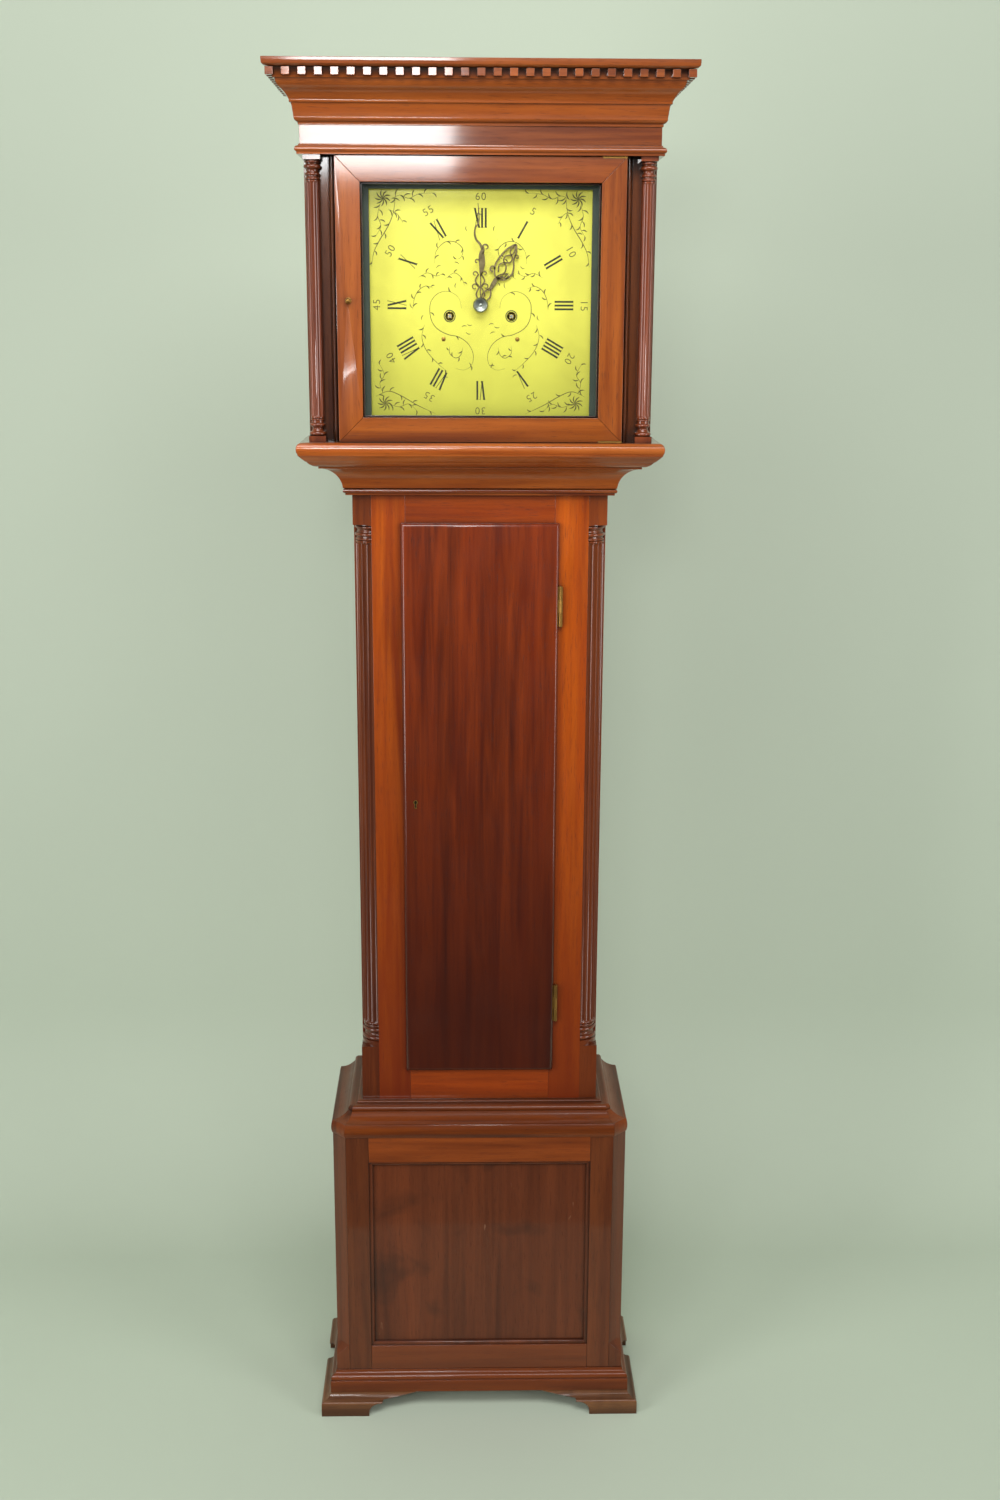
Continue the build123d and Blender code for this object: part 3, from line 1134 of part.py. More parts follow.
def make_great_wheel(name, place, teeth, module, phase):
    """Great wheel, free on its barrel's arbor."""
    with BuildPart() as wheel:
        toothed(place[0], place[1], teeth, module, GREAT_PLANE, GREAT_PLANE + 3, phase)
        disc(place[0], place[1], THICK_ARBOR + PIVOT_FIT, GREAT_PLANE, GREAT_PLANE + 3, Mode.SUBTRACT, ARBOR_SIDES)
    save(wheel.part, name)


def make_train():
    """Great, centre, third and escape wheels, and the strike's pin wheel, each in mesh with the next."""
    great_phase = atan2(CENTRE[1] - GOING[1], CENTRE[0] - GOING[0])
    make_great_wheel("going_great_wheel", GOING, GREAT_TEETH, GREAT_MODULE, great_phase)
    centre_phase = in_mesh(*GOING, *CENTRE, GREAT_TEETH, PINION_TEETH, great_phase)
    wheel_phase = atan2(THIRD[1] - CENTRE[1], THIRD[0] - CENTRE[0])
    with BuildPart() as centre:
        arbor(CENTRE, CANNON_FRONT, BACK_PLATE_Y + PLATE)
        toothed(*CENTRE, PINION_TEETH, GREAT_MODULE, GREAT_PLANE - 1, GREAT_PLANE + 4, centre_phase,
                PINION_ROOT)
        toothed(*CENTRE, CENTRE_TEETH, CENTRE_MODULE, 30, 32, wheel_phase)
        crossed_out(*CENTRE, 17.5, 5, 30, 32)
    save(centre.part, "centre_wheel")
    pinion_phase = in_mesh(*CENTRE, *THIRD, CENTRE_TEETH, PINION_TEETH, wheel_phase)
    third_phase = atan2(ESCAPE[1] - THIRD[1], ESCAPE[0] - THIRD[0])
    with BuildPart() as third:
        arbor(THIRD, FRONT_PLATE_Y, BACK_PLATE_Y + PLATE)
        toothed(*THIRD, PINION_TEETH, CENTRE_MODULE, 28, 34, pinion_phase, PINION_ROOT)
        toothed(*THIRD, THIRD_TEETH, THIRD_MODULE, 12, 14, third_phase)
        crossed_out(*THIRD, 13.8, 4, 12, 14)
    save(third.part, "third_wheel")
    escape_phase = in_mesh(*THIRD, *ESCAPE, THIRD_TEETH, ESCAPE_PINION_TEETH, third_phase)
    with BuildPart() as escape:
        arbor(ESCAPE, FRONT_PLATE_Y, BACK_PLATE_Y + PLATE)
        toothed(*ESCAPE, ESCAPE_PINION_TEETH, THIRD_MODULE, 10, 16, escape_phase, PINION_ROOT)
        with BuildSketch(Plane.XZ.offset(-42)) as rim:
            with BuildLine():
                points = []
                for tooth in range(ESCAPE_TEETH):
                    angle = 2 * pi * tooth / ESCAPE_TEETH
                    for share, radius in ((0.0, ESCAPE_RADIUS - 3), (0.42, ESCAPE_RADIUS), (0.5, ESCAPE_RADIUS),
                                          (0.52, ESCAPE_RADIUS - 3)):
                        turn = angle + share * 2 * pi / ESCAPE_TEETH
                        points.append((ESCAPE[0] + radius * cos(turn), ESCAPE[1] + radius * sin(turn)))
                Polyline(*points, close=True)
            make_face()
        extrude(rim.sketch, amount=2)
        crossed_out(*ESCAPE, 11, 3.5, 40, 42)
    save(escape.part, "escape_wheel")
    strike_phase = atan2(PIN_WHEEL[1] - STRIKE[1], PIN_WHEEL[0] - STRIKE[0])
    make_great_wheel("strike_great_wheel", STRIKE, STRIKE_TEETH, STRIKE_MODULE, strike_phase)
    pin_phase = in_mesh(*STRIKE, *PIN_WHEEL, STRIKE_TEETH, PINION_TEETH, strike_phase)
    with BuildPart() as pin_wheel:
        arbor(PIN_WHEEL, FRONT_PLATE_Y, BACK_PLATE_Y + PLATE)
        toothed(*PIN_WHEEL, PINION_TEETH, STRIKE_MODULE, GREAT_PLANE - 1, GREAT_PLANE + 4, pin_phase,
                PINION_ROOT)
        toothed(*PIN_WHEEL, PIN_WHEEL_TEETH, 0.68, 34, 36, 0)
        crossed_out(*PIN_WHEEL, 15, 5, 34, 36)
        with BuildSketch(Plane.XZ.offset(-39)) as pins:
            with Locations(PIN_WHEEL):
                with PolarLocations(17.6, 8):
                    RegularPolygon(0.9, 6)
        extrude(pins.sketch, amount=3)
    save(pin_wheel.part, "pin_wheel")


CANNON_FRONT = DIAL_Y - 13.0
CANNON_BORE = CENTRE_PIVOT + PIVOT_FIT
CANNON_PIPE = 3.2
HOUR_BORE = CANNON_PIPE + PIVOT_FIT
HOUR_PIPE = 4.6
CANNON_PLANE = FRONT_PLATE_Y - 4.0
HOUR_PLANE = FRONT_PLATE_Y - 9.0


def make_motion_work():
    """Cannon wheel, minute wheel with its pinion, and hour wheel with the snail, in front of the plate."""
    down = atan2(MINUTE_WHEEL[1] - CENTRE[1], MINUTE_WHEEL[0] - CENTRE[0])
    with BuildPart() as cannon:
        toothed(*CENTRE, CANNON_TEETH, CANNON_MODULE, CANNON_PLANE - 1.5, CANNON_PLANE, down, 0.3)
        disc(*CENTRE, CANNON_PIPE * (1 - ARBOR_EASE), DIAL_Y - 11.5, CANNON_PLANE, Mode.ADD, ARBOR_SIDES)
        disc(*CENTRE, CANNON_BORE, DIAL_Y - 12, CANNON_PLANE, Mode.SUBTRACT, ARBOR_SIDES)
    save(cannon.part, "cannon_wheel")
    minute_phase = in_mesh(*CENTRE, *MINUTE_WHEEL, CANNON_TEETH, CANNON_TEETH, down)
    pinion_phase = down + pi
    with BuildPart() as minute:
        toothed(*MINUTE_WHEEL, CANNON_TEETH, CANNON_MODULE, CANNON_PLANE - 1.5, CANNON_PLANE, minute_phase, 0.3)
        toothed(*MINUTE_WHEEL, HOUR_PINION_TEETH, HOUR_MODULE, HOUR_PLANE - 2.5, CANNON_PLANE - 1.5, pinion_phase,
                PINION_ROOT)
        disc(*MINUTE_WHEEL, 1.5 + PIVOT_FIT, HOUR_PLANE - 3, CANNON_PLANE, Mode.SUBTRACT, ARBOR_SIDES)
    save(minute.part, "minute_wheel")
    hour_phase = in_mesh(*MINUTE_WHEEL, *CENTRE, HOUR_PINION_TEETH, HOUR_TEETH, pinion_phase)
    with BuildPart() as hour:
        toothed(*CENTRE, HOUR_TEETH, HOUR_MODULE, HOUR_PLANE - 1.5, HOUR_PLANE, hour_phase)
        disc(*CENTRE, HOUR_PIPE, DIAL_Y - 5, HOUR_PLANE, Mode.ADD, ARBOR_SIDES)
        with BuildSketch(Plane.XZ.offset(-(HOUR_PLANE - 1.5))) as snail:
            with BuildLine():
                points = []
                for step in range(12):
                    radius = 8 + 1.1 * step
                    for share in (0.02, 0.98):
                        turn = 2 * pi * (step + share) / 12
                        points.append((CENTRE[0] + radius * cos(turn), CENTRE[1] + radius * sin(turn)))
                Polyline(*points, close=True)
            make_face()
        extrude(snail.sketch, amount=1.5)
        disc(*CENTRE, HOUR_BORE, DIAL_Y - 6, HOUR_PLANE, Mode.SUBTRACT, ARBOR_SIDES)
    save(hour.part, "hour_wheel")


def hand_outline(length, width, hub, turn, y):
    """A pierced serpentine hand: hub ring, two crossing curls, and a leaf shaped tip."""
    with BuildSketch(Plane(origin=(0, y, DIAL_Z), x_dir=(cos(turn), 0, sin(turn)), z_dir=(0, -1, 0))) as hand:
        RegularPolygon(hub, TURNED_SIDES)
        with BuildLine():
            Polyline((-width / 2, 0), (-width / 2, length * 0.34), (-width * 1.9, length * 0.44),
                     (-width / 2, length * 0.56), (-width / 2, length * 0.62), (-width * 1.2, length * 0.7),
                     (0, length), (width * 1.2, length * 0.7), (width / 2, length * 0.62),
                     (width / 2, length * 0.56), (width * 1.9, length * 0.44), (width / 2, length * 0.34),
                     (width / 2, 0), close=True)
        make_face()
        for middle, half_wide, half_long in ((0.45, 0.9, 0.08), (0.73, 0.5, 0.04)):
            with BuildLine():
                Polyline((0, length * (middle - half_long)), (width * half_wide, length * middle),
                         (0, length * (middle + half_long)), (-width * half_wide, length * middle), close=True)
            make_face(mode=Mode.SUBTRACT)
    return hand.sketch


def make_hands():
    """Pierced steel hands and the brass collet that holds them on."""
    with BuildPart() as minute:
        extrude(hand_outline(MINUTE_HAND, 3.2, 8, radians(MINUTE_HAND_ANGLE), DIAL_Y - 9.5), amount=1.2)
        turned(Plane.XZ.offset(-DIAL_Y), *CENTRE, ((9, 10.7), (7, 13.2), (3, 14.2)), TURNED_SIDES)
        disc(*CENTRE, CENTRE_PIVOT + 0.3, DIAL_Y - 15, DIAL_Y - 9, Mode.SUBTRACT, ARBOR_SIDES)
        disc(*CENTRE, CANNON_PIPE + 0.1, DIAL_Y - 11.8, DIAL_Y - 9, Mode.SUBTRACT, ARBOR_SIDES)
    save(minute.part, "minute_hand")
    with BuildPart() as hour:
        extrude(hand_outline(HOUR_HAND, 4.4, 9.5, radians(HOUR_HAND_ANGLE), DIAL_Y - 3.2), amount=1.3)
        disc(*CENTRE, HOUR_PIPE + PIVOT_FIT, DIAL_Y - 6, DIAL_Y, Mode.SUBTRACT, ARBOR_SIDES)
    save(hour.part, "hour_hand")


def make_anchor():
    """Anchor, arbor and crutch; the pallets stand just clear of the escape wheel's teeth."""
    with BuildPart() as anchor:
        arbor((0.0, ANCHOR_Z), FRONT_PLATE_Y, BACK_PLATE_Y + PLATE + 10.8)
        with BuildSketch(Plane.XZ.offset(-43)) as arms:
            with BuildLine():
                Polyline((-4, ANCHOR_Z + 3), (4, ANCHOR_Z + 3), (17.5, ANCHOR_Z - 8), (19.5, ANCHOR_Z - 17),
                         (16.8, ANCHOR_Z - 16.5), (15, ANCHOR_Z - 9), (3, ANCHOR_Z - 2.5), (-3, ANCHOR_Z - 2.5),
                         (-15, ANCHOR_Z - 9), (-16.8, ANCHOR_Z - 16.5), (-19.5, ANCHOR_Z - 17),
                         (-17.5, ANCHOR_Z - 8), close=True)
            make_face()
        extrude(arms.sketch, amount=4)
        crutch_y = BACK_PLATE_Y + PLATE + 4.3
        slab(-1.5, 1.5, crutch_y, crutch_y + 2.5, ANCHOR_Z - 110, ANCHOR_Z - 1)
        slab(-8, 8, crutch_y, crutch_y + 2.5, ANCHOR_Z - 116, ANCHOR_Z - 110)
        for side in (-1, 1):
            slab(*sorted((side * (ROD_RADIUS + 0.3), side * 8)), crutch_y, PENDULUM_Y + 5, ANCHOR_Z - 116,
                 ANCHOR_Z - 110)
    save(anchor.part, "anchor")


def make_pendulum():
    """Suspension spring and rod, then the lens shaped bob with its rating nut."""
    with BuildPart() as rod:
        slab(-6, 6, PENDULUM_Y - 6, PENDULUM_Y + 6, ANCHOR_Z - 0.7, ANCHOR_Z + 5)
        slab(-0.15, 0.15, PENDULUM_Y - 4, PENDULUM_Y + 4, ANCHOR_Z - 30, ANCHOR_Z - 0.7)
        slab(-2, 2, PENDULUM_Y - 5, PENDULUM_Y + 5, ANCHOR_Z - 42, ANCHOR_Z - 30)
        post(0, PENDULUM_Y, ROD_RADIUS, BOB_Z - BOB_RADIUS - 26, ANCHOR_Z - 42, Mode.ADD, ARBOR_SIDES)
    save(rod.part, "pendulum_rod")
    edge = 1.5
    rings = [(BOB_RADIUS * share, edge + (BOB_THICK / 2 - edge) * (1 - share ** 2)) for share in (1, 0.82, 0.55, 0.2)]
    lens = [(radius, -depth) for radius, depth in reversed(rings)] + rings
    with BuildPart() as bob:
        turned(Plane.XZ.offset(-PENDULUM_Y), 0, BOB_Z, lens, 24)
        nut_top = BOB_Z - BOB_RADIUS - 0.3
        post(0, PENDULUM_Y, 9, nut_top - 9, nut_top, Mode.ADD, 16)
        post(0, PENDULUM_Y, ROD_RADIUS, BOB_Z - BOB_RADIUS - 30, BOB_Z + BOB_RADIUS + 1, Mode.SUBTRACT, ARBOR_SIDES)
    save(bob.part, "pendulum_bob")


def make_hammer():
    """Bell hammer on its arbor, with a tail by the pin wheel."""
    x, z = HAMMER
    head_x = -BELL_RADIUS - 8
    with BuildPart() as hammer:
        arbor(HAMMER, FRONT_PLATE_Y, BACK_PLATE_Y + PLATE)
        slab(x - 1.5, x + 1.5, BELL_Y - 1.5, BELL_Y + 1.5, z, BELL_Z - 2)
        slab(x - 1.5, head_x + 5, BELL_Y - 4, BELL_Y + 4, BELL_Z - 2, BELL_Z + 6)
        slab(x - 1.5, x + 1.5, 36.8, 38.8, z - 14, z)
        slab(x - 1.5, x + 7.5, 36.8, 38.8, z - 17, z - 14)
    save(hammer.part, "hammer")


# Weights, pulleys and lines

PULLEY_Z = WEIGHT_LOW + WEIGHT_LONG + 44.0
PULLEY_PIN = 2.0


def make_weight(name, side):
    """Cased lead weight with its hook, and the stirrup that holds the pulley's pin."""
    x = sum(line_x(side)) / 2
    top = WEIGHT_LOW + WEIGHT_LONG
    with BuildPart() as weight:
        outline = ((WEIGHT_RADIUS - 3, WEIGHT_LOW), (WEIGHT_RADIUS, WEIGHT_LOW + 3), (WEIGHT_RADIUS, top - 3),
                   (WEIGHT_RADIUS - 3, top))
        turned(Plane.XY, x, LINE_Y, outline, 24)
        post(x, LINE_Y, 12, top, top + 5, Mode.ADD, 16)
        post(x, LINE_Y, 2.5, top + 5, PULLEY_Z - PULLEY_RADIUS - 3, Mode.ADD, ARBOR_SIDES)
        slab(x - 5, x + 5, LINE_Y - 8, LINE_Y + 8, PULLEY_Z - PULLEY_RADIUS - 6, PULLEY_Z - PULLEY_RADIUS - 3)
        for y in (LINE_Y - 8, LINE_Y + 6):
            slab(x - 5, x + 5, y, y + 2, PULLEY_Z - PULLEY_RADIUS - 6, PULLEY_Z + 5)
        disc(x, PULLEY_Z, PULLEY_PIN * (1 - ARBOR_EASE), LINE_Y - 8, LINE_Y + 8, Mode.ADD, ARBOR_SIDES)
    save(weight.part, name)


def make_pulley(name, side):
    """Brass pulley with a round groove."""
    x = sum(line_x(side)) / 2
    rim = PULLEY_RADIUS + 1.4
    with BuildPart() as pulley:
        groove = PULLEY_RADIUS - LINE_RADIUS - 1
        outline = ((rim, -3.5), (rim, -2.8), (groove, 0), (rim, 2.8), (rim, 3.5))
        turned(Plane.XZ.offset(-LINE_Y), x, PULLEY_Z, outline, 24)
        disc(x, PULLEY_Z, PULLEY_PIN + PIVOT_FIT, LINE_Y - 4, LINE_Y + 4, Mode.SUBTRACT, ARBOR_SIDES)
    save(pulley.part, name)


def make_lines():
    """Gut lines: two runs from each pulley to the seat board, and short fixed tops up to the barrels."""
    for name, side in (("going_line", 1), ("strike_line", -1)):
        with BuildPart() as line:
            for x in line_x(side):
                post(x, LINE_Y, LINE_RADIUS, PULLEY_Z, SEAT_LOW, Mode.ADD, 8)
        save(line.part, name)
    with BuildPart() as tops:
        for side in (-1, 1):
            barrel_x, tied_x = line_x(side)
            post(barrel_x, LINE_Y, LINE_RADIUS, SEAT_LOW + GLUE_LINE, BARREL_Z, Mode.ADD, 8)
            post(tied_x, LINE_Y, LINE_RADIUS, SEAT_LOW + GLUE_LINE, SEAT_TOP, Mode.ADD, 8)
            post(tied_x, LINE_Y, 3, SEAT_TOP, SEAT_TOP + 5, Mode.ADD, 8)
    save(tops.part, "line_tops")


make_backboard()
make_trunk_sides()
make_trunk_frame()
make_quarter_columns()
make_throat_moulding()
make_seat_board()
make_plinth_frame()
make_plinth_panel()
make_plinth_sides()
make_plinth_moulding()
make_base_moulding()
make_bracket_feet()
make_bottom_board()
make_hood_base()
make_hood_sides()
make_hood_posts()
make_hood_columns()
make_dial_mask()
make_hood_frieze()
make_cornice()
make_dentils()
make_hood_top()
make_hood_door_frame()
make_hood_glass()
make_hood_knob()
make_hood_door_hinges()
make_trunk_door()
make_trunk_lock()
make_lock_bolt()
make_trunk_hinges()
make_movement_plates()
make_pillars()
make_dial_plate()
make_cocks()
make_bell()
make_barrel("going_barrel", GOING)
make_barrel("strike_barrel", STRIKE)
make_train()
make_motion_work()
make_hands()
make_anchor()
make_pendulum()
make_hammer()
for weight_side, train in ((1, "going"), (-1, "strike")):
    make_weight(train + "_weight", weight_side)
    make_pulley(train + "_pulley", weight_side)
make_lines()
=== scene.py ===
import bpy
import bmesh
import json
from math import atan2, cos, pi, radians, sin
from mathutils import Matrix, Vector

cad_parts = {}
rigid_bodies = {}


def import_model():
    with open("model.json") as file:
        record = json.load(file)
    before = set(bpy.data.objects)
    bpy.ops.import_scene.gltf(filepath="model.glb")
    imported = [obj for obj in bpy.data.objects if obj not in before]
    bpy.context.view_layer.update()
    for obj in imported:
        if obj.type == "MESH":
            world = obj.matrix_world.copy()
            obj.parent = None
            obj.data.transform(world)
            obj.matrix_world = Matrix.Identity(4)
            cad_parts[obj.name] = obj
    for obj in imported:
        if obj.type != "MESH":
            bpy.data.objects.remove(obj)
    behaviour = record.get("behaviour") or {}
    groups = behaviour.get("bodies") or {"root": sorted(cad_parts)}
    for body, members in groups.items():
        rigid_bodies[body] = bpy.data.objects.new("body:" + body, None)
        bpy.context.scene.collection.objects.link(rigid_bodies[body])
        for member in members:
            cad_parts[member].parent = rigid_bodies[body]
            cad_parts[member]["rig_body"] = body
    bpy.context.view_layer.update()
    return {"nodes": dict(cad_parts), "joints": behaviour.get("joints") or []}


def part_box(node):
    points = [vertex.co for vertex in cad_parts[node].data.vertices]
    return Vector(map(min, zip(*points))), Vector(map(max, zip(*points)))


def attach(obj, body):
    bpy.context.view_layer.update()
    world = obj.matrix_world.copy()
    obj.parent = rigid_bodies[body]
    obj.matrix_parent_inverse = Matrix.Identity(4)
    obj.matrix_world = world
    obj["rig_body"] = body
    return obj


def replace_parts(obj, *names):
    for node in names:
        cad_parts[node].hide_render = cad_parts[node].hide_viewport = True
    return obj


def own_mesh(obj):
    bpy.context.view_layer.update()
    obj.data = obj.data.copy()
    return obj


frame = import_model()
nodes = frame["nodes"]
MM = 0.001
UP, BACK, FRONT = (0, 0, 1), (0, 1, 0), (0, -1, 0)
TRAINS = (("going", 1), ("strike", -1))  # each train with the side of the dial that it is on

# Places read from the frame
DIAL_LOW, DIAL_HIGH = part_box("dial_plate")
DIAL_CENTRE = (DIAL_LOW + DIAL_HIGH) / 2
DIAL_FACE = DIAL_LOW.y
ENGRAVING_PROUD = 0.04 * MM
WINDING_SIDE, WINDING_DROP = 42.0, 14.5  # the winding squares from the dial's centre, in millimetres


# Colour

def colour(red, green, blue):
    """A screen colour from 0 to 255, as the linear colour that the shader takes."""
    linear = [((c / 255 + 0.055) / 1.055) ** 2.4 if c > 10 else c / 255 / 12.92 for c in (red, green, blue)]
    return (*linear, 1.0)


class Flow:
    """A number, colour or vector on its way between shader nodes."""

    def __init__(self, finish, socket):
        self.finish = finish
        self.socket = socket

    def math(self, operation, *values):
        return self.finish.node("ShaderNodeMath", {"operation": operation}, dict(enumerate(values)))

    def __add__(self, other):
        return self.math("ADD", self, other)

    def __radd__(self, other):
        return self.math("ADD", other, self)

    def __sub__(self, other):
        return self.math("SUBTRACT", self, other)

    def __rsub__(self, other):
        return self.math("SUBTRACT", other, self)

    def __mul__(self, other):
        return self.math("MULTIPLY", self, other)

    def __rmul__(self, other):
        return self.math("MULTIPLY", other, self)

    def __truediv__(self, other):
        return self.math("DIVIDE", self, other)

    def __pow__(self, other):
        return self.math("POWER", self, other)

    def between(self, low, high):
        """0 below low, 1 above high and a straight climb from one to the other."""
        return self.finish.node("ShaderNodeMapRange", {"clamp": True}, {0: self, 1: low, 2: high})


class Finish:
    """One material, or the room, with the nodes that its look is made of."""

    def __init__(self, name, owner=None):
        self.material = owner or bpy.data.materials.new(name)
        self.material.use_nodes = True
        self.tree = self.material.node_tree
        self.tree.nodes.clear()

    def node(self, kind, settings, values, output=0):
        """A node of a type, its settings, then the values or links of its sockets."""
        made = self.tree.nodes.new(kind)
        for name, setting in settings.items():
            if name == "stops":
                ramp = made.color_ramp
                while len(ramp.elements) < len(setting):
                    ramp.elements.new(0.5)
                for element, (position, tone) in zip(ramp.elements, setting):
                    element.position = position
                    element.color = tone
            else:
                setattr(made, name, setting)
        for name, value in values.items():
            if isinstance(value, Flow):
                self.tree.links.new(value.socket, made.inputs[name])
            else:
                made.inputs[name].default_value = value
        return Flow(self, made.outputs[output]) if len(made.outputs) else None

    def place(self):
        """The point on the piece, in metres."""
        return self.node("ShaderNodeTexCoord", {}, {}, "Object")

    def board(self):
        """A number for each separate board of a piece."""
        return self.node("ShaderNodeAttribute", {"attribute_name": "board"}, {}, "Fac")

    def stretched(self, place, scale):
        return self.node("ShaderNodeVectorMath", {"operation": "MULTIPLY"}, {0: place, 1: scale})

    def shifted(self, place, amount):
        moved = self.node("ShaderNodeCombineXYZ", {}, {0: amount, 1: amount * 1.7, 2: amount * 2.3})
        return self.node("ShaderNodeVectorMath", {"operation": "ADD"}, {0: place, 1: moved})

    def noise(self, place, scale, detail=3.0, distortion=0.0, roughness=0.5):
        return self.node("ShaderNodeTexNoise", {}, {"Vector": place, "Scale": scale, "Detail": detail,
                                                    "Distortion": distortion, "Roughness": roughness})

    def mixed(self, share, first, second):
        return self.node("ShaderNodeMix", {"data_type": "RGBA"}, {0: share, 6: first, 7: second}, 2)

    def part_of(self, place, axis):
        return self.node("ShaderNodeSeparateXYZ", {}, {0: place}, "XYZ".index(axis))

    def bump(self, height, distance):
        return self.node("ShaderNodeBump", {}, {"Height": height, "Distance": distance, "Strength": 1.0})

    def surface(self, values):
        """The one shader of the surface, joined to the output."""
        shader = self.node("ShaderNodeBsdfPrincipled", {}, values)
        self.output(shader)
        return self.material

    def output(self, shader, kind="ShaderNodeOutputMaterial"):
        self.node(kind, {}, {"Surface": shader})


# Finishes

GRAIN = {"x": (0.05, 1.0, 1.0), "y": (1.0, 0.05, 1.0), "z": (1.0, 1.0, 0.05)}
CORNER_SHADE_REACH = 32 * MM  # how far from a corner the painted shade darkens the wood


def mahogany(name, along, light, dark, streak, gloss=0.9, fade=None, stains=False):
    """French polished mahogany: streaks along the board, dark pores, painted shade in corners and a clear coat.
    """
    finish = Finish("%s_%s" % (name, along))
    place = finish.place()
    board = finish.board()
    own = finish.shifted(place, board * 3.1)
    grain = finish.stretched(own, GRAIN[along])
    figure = finish.noise(grain, 9.0, 4.0, 1.4).between(0.4, 0.62)
    ribbons = finish.noise(grain, 70.0, 3.0, 0.6).between(0.34, 0.7)
    lines = finish.noise(grain, 260.0, 2.0, 0.2)
    body = finish.mixed(figure, dark, light)
    body = finish.mixed(ribbons * 0.6, body, streak)
    body = finish.mixed(lines.between(0.5, 0.75) * 0.3, body, dark)
    pores = finish.noise(finish.stretched(grain, (2.0, 2.0, 2.0)), 520.0, 2.0).between(0.6, 0.72)
    body = finish.mixed(pores * 0.45, body, colour(40, 14, 6))
    tone = board.math("FRACT", board * 0.618) * 0.22
    body = finish.mixed(tone, body, dark)
    # Painted shade: an ambient occlusion node darkens the wood in corners, crevices and gaps between parts.
    open_share = finish.node("ShaderNodeAmbientOcclusion", {"samples": 4}, {"Distance": CORNER_SHADE_REACH}, "AO")
    body = finish.mixed((1.0 - open_share.between(0.25, 0.94)) * 0.95, body, colour(22, 8, 3))
    # Darker towards the bottom, between two heights, for the pieces that ask for it.
    if fade:
        low, high, deep, share = fade
        height = finish.part_of(place, "Z")
        body = finish.mixed((1.0 - height.between(low, high)) * share, body, deep)
    if stains:
        blot = finish.noise(place, 11.0, 3.0, 0.5).between(0.56, 0.74)
        body = finish.mixed(blot * 0.55, body, colour(38, 22, 16))
        scuffs = finish.noise(finish.stretched(place, (1.0, 1.0, 0.4)), 75.0, 2.0).between(0.74, 0.78)
        body = finish.mixed(scuffs * 0.35, body, colour(150, 110, 84))
    handling = finish.noise(place, 18.0, 3.0).between(0.3, 0.75)
    rough = 0.3 + handling * 0.12 + pores * 0.15
    relief = finish.bump(1.0 - pores + ribbons * 0.2, 0.00008)
    return finish.surface({"Base Color": body, "Roughness": rough, "Normal": relief, "Coat Weight": gloss,
                           "Coat Roughness": 0.07, "Coat IOR": 1.5, "Specular IOR Level": 0.2})


def timber(name, light, dark, streak, **ways):
    """The same wood with its grain along each of the three directions."""
    return {along: mahogany(name, along, light, dark, streak, **ways) for along in "xyz"}


def raw_oak(along):
    """Unpolished oak of the hidden boards: paler, with long dark pores and dust."""
    finish = Finish("raw_oak_" + along)
    place = finish.place()
    own = finish.shifted(place, finish.board() * 2.3)
    grain = finish.stretched(own, GRAIN[along])
    rings = finish.noise(grain, 24.0, 4.0, 0.8).between(0.35, 0.68)
    body = finish.mixed(rings, colour(112, 78, 46), colour(158, 120, 78))
    pores = finish.noise(grain, 420.0, 2.0).between(0.58, 0.7)
    body = finish.mixed(pores * 0.6, body, colour(66, 42, 24))
    dust = finish.noise(place, 6.0, 4.0).between(0.45, 0.8)
    body = finish.mixed(dust * 0.25, body, colour(120, 108, 92))
    relief = finish.bump(1.0 - pores, 0.0002)
    return finish.surface({"Base Color": body, "Roughness": 0.72 + dust * 0.15, "Normal": relief})


def metal(name, bright, dull, rough=0.28, spread=0.14, patches=22.0):
    """Worked metal with tarnish in patches and fine scratches."""
    finish = Finish(name)
    place = finish.place()
    tarnish = finish.noise(place, patches, 5.0, 0.4).between(0.42, 0.72)
    fine = finish.noise(place, 900.0, 2.0)
    body = finish.mixed(tarnish * 0.6, bright, dull)
    relief = finish.bump(fine, 0.00002)
    return finish.surface({"Base Color": body, "Roughness": rough + tarnish * spread + fine * 0.06,
                           "Metallic": 1.0, "Normal": relief})


def dial_brass():
    """Lacquered engraved brass: bright straw yellow and mottled, with painted shade that darkens and greens it
    towards the foot.
    """
    finish = Finish("dial_brass")
    place = finish.place()
    height = finish.part_of(place, "Z")
    mottle = finish.noise(place, 26.0, 5.0, 0.6).between(0.3, 0.75)
    brushed = finish.noise(finish.stretched(place, (0.08, 1.0, 1.0)), 900.0, 2.0)
    body = finish.mixed(mottle * 0.4, colour(250, 236, 96), colour(218, 202, 80))
    # Painted shade: below the dial's centre the brass darkens more and more towards the foot.
    foot = 1.0 - height.between(DIAL_CENTRE.z - 0.15, DIAL_CENTRE.z)
    body = finish.mixed(foot * 0.6, body, colour(160, 158, 56))
    specks = finish.noise(place, 240.0, 2.0).between(0.7, 0.78)
    body = finish.mixed(specks * 0.3, body, colour(120, 104, 40))
    relief = finish.bump(brushed, 0.00002)
    return finish.surface({"Base Color": body, "Roughness": 0.42 + mottle * 0.1, "Metallic": 0.12,
                           "Normal": relief, "Coat Weight": 0.3, "Coat Roughness": 0.12,
                           "Specular IOR Level": 0.4})


def wax(name, tone):
    """Wax that fills engraved lines; also the flat dark painted shadow in the keyhole."""
    finish = Finish(name)
    worn = finish.noise(finish.place(), 160.0, 3.0).between(0.35, 0.75)
    body = finish.mixed(worn * 0.45, tone, colour(96, 90, 40))
    return finish.surface({"Base Color": body, "Roughness": 0.55})


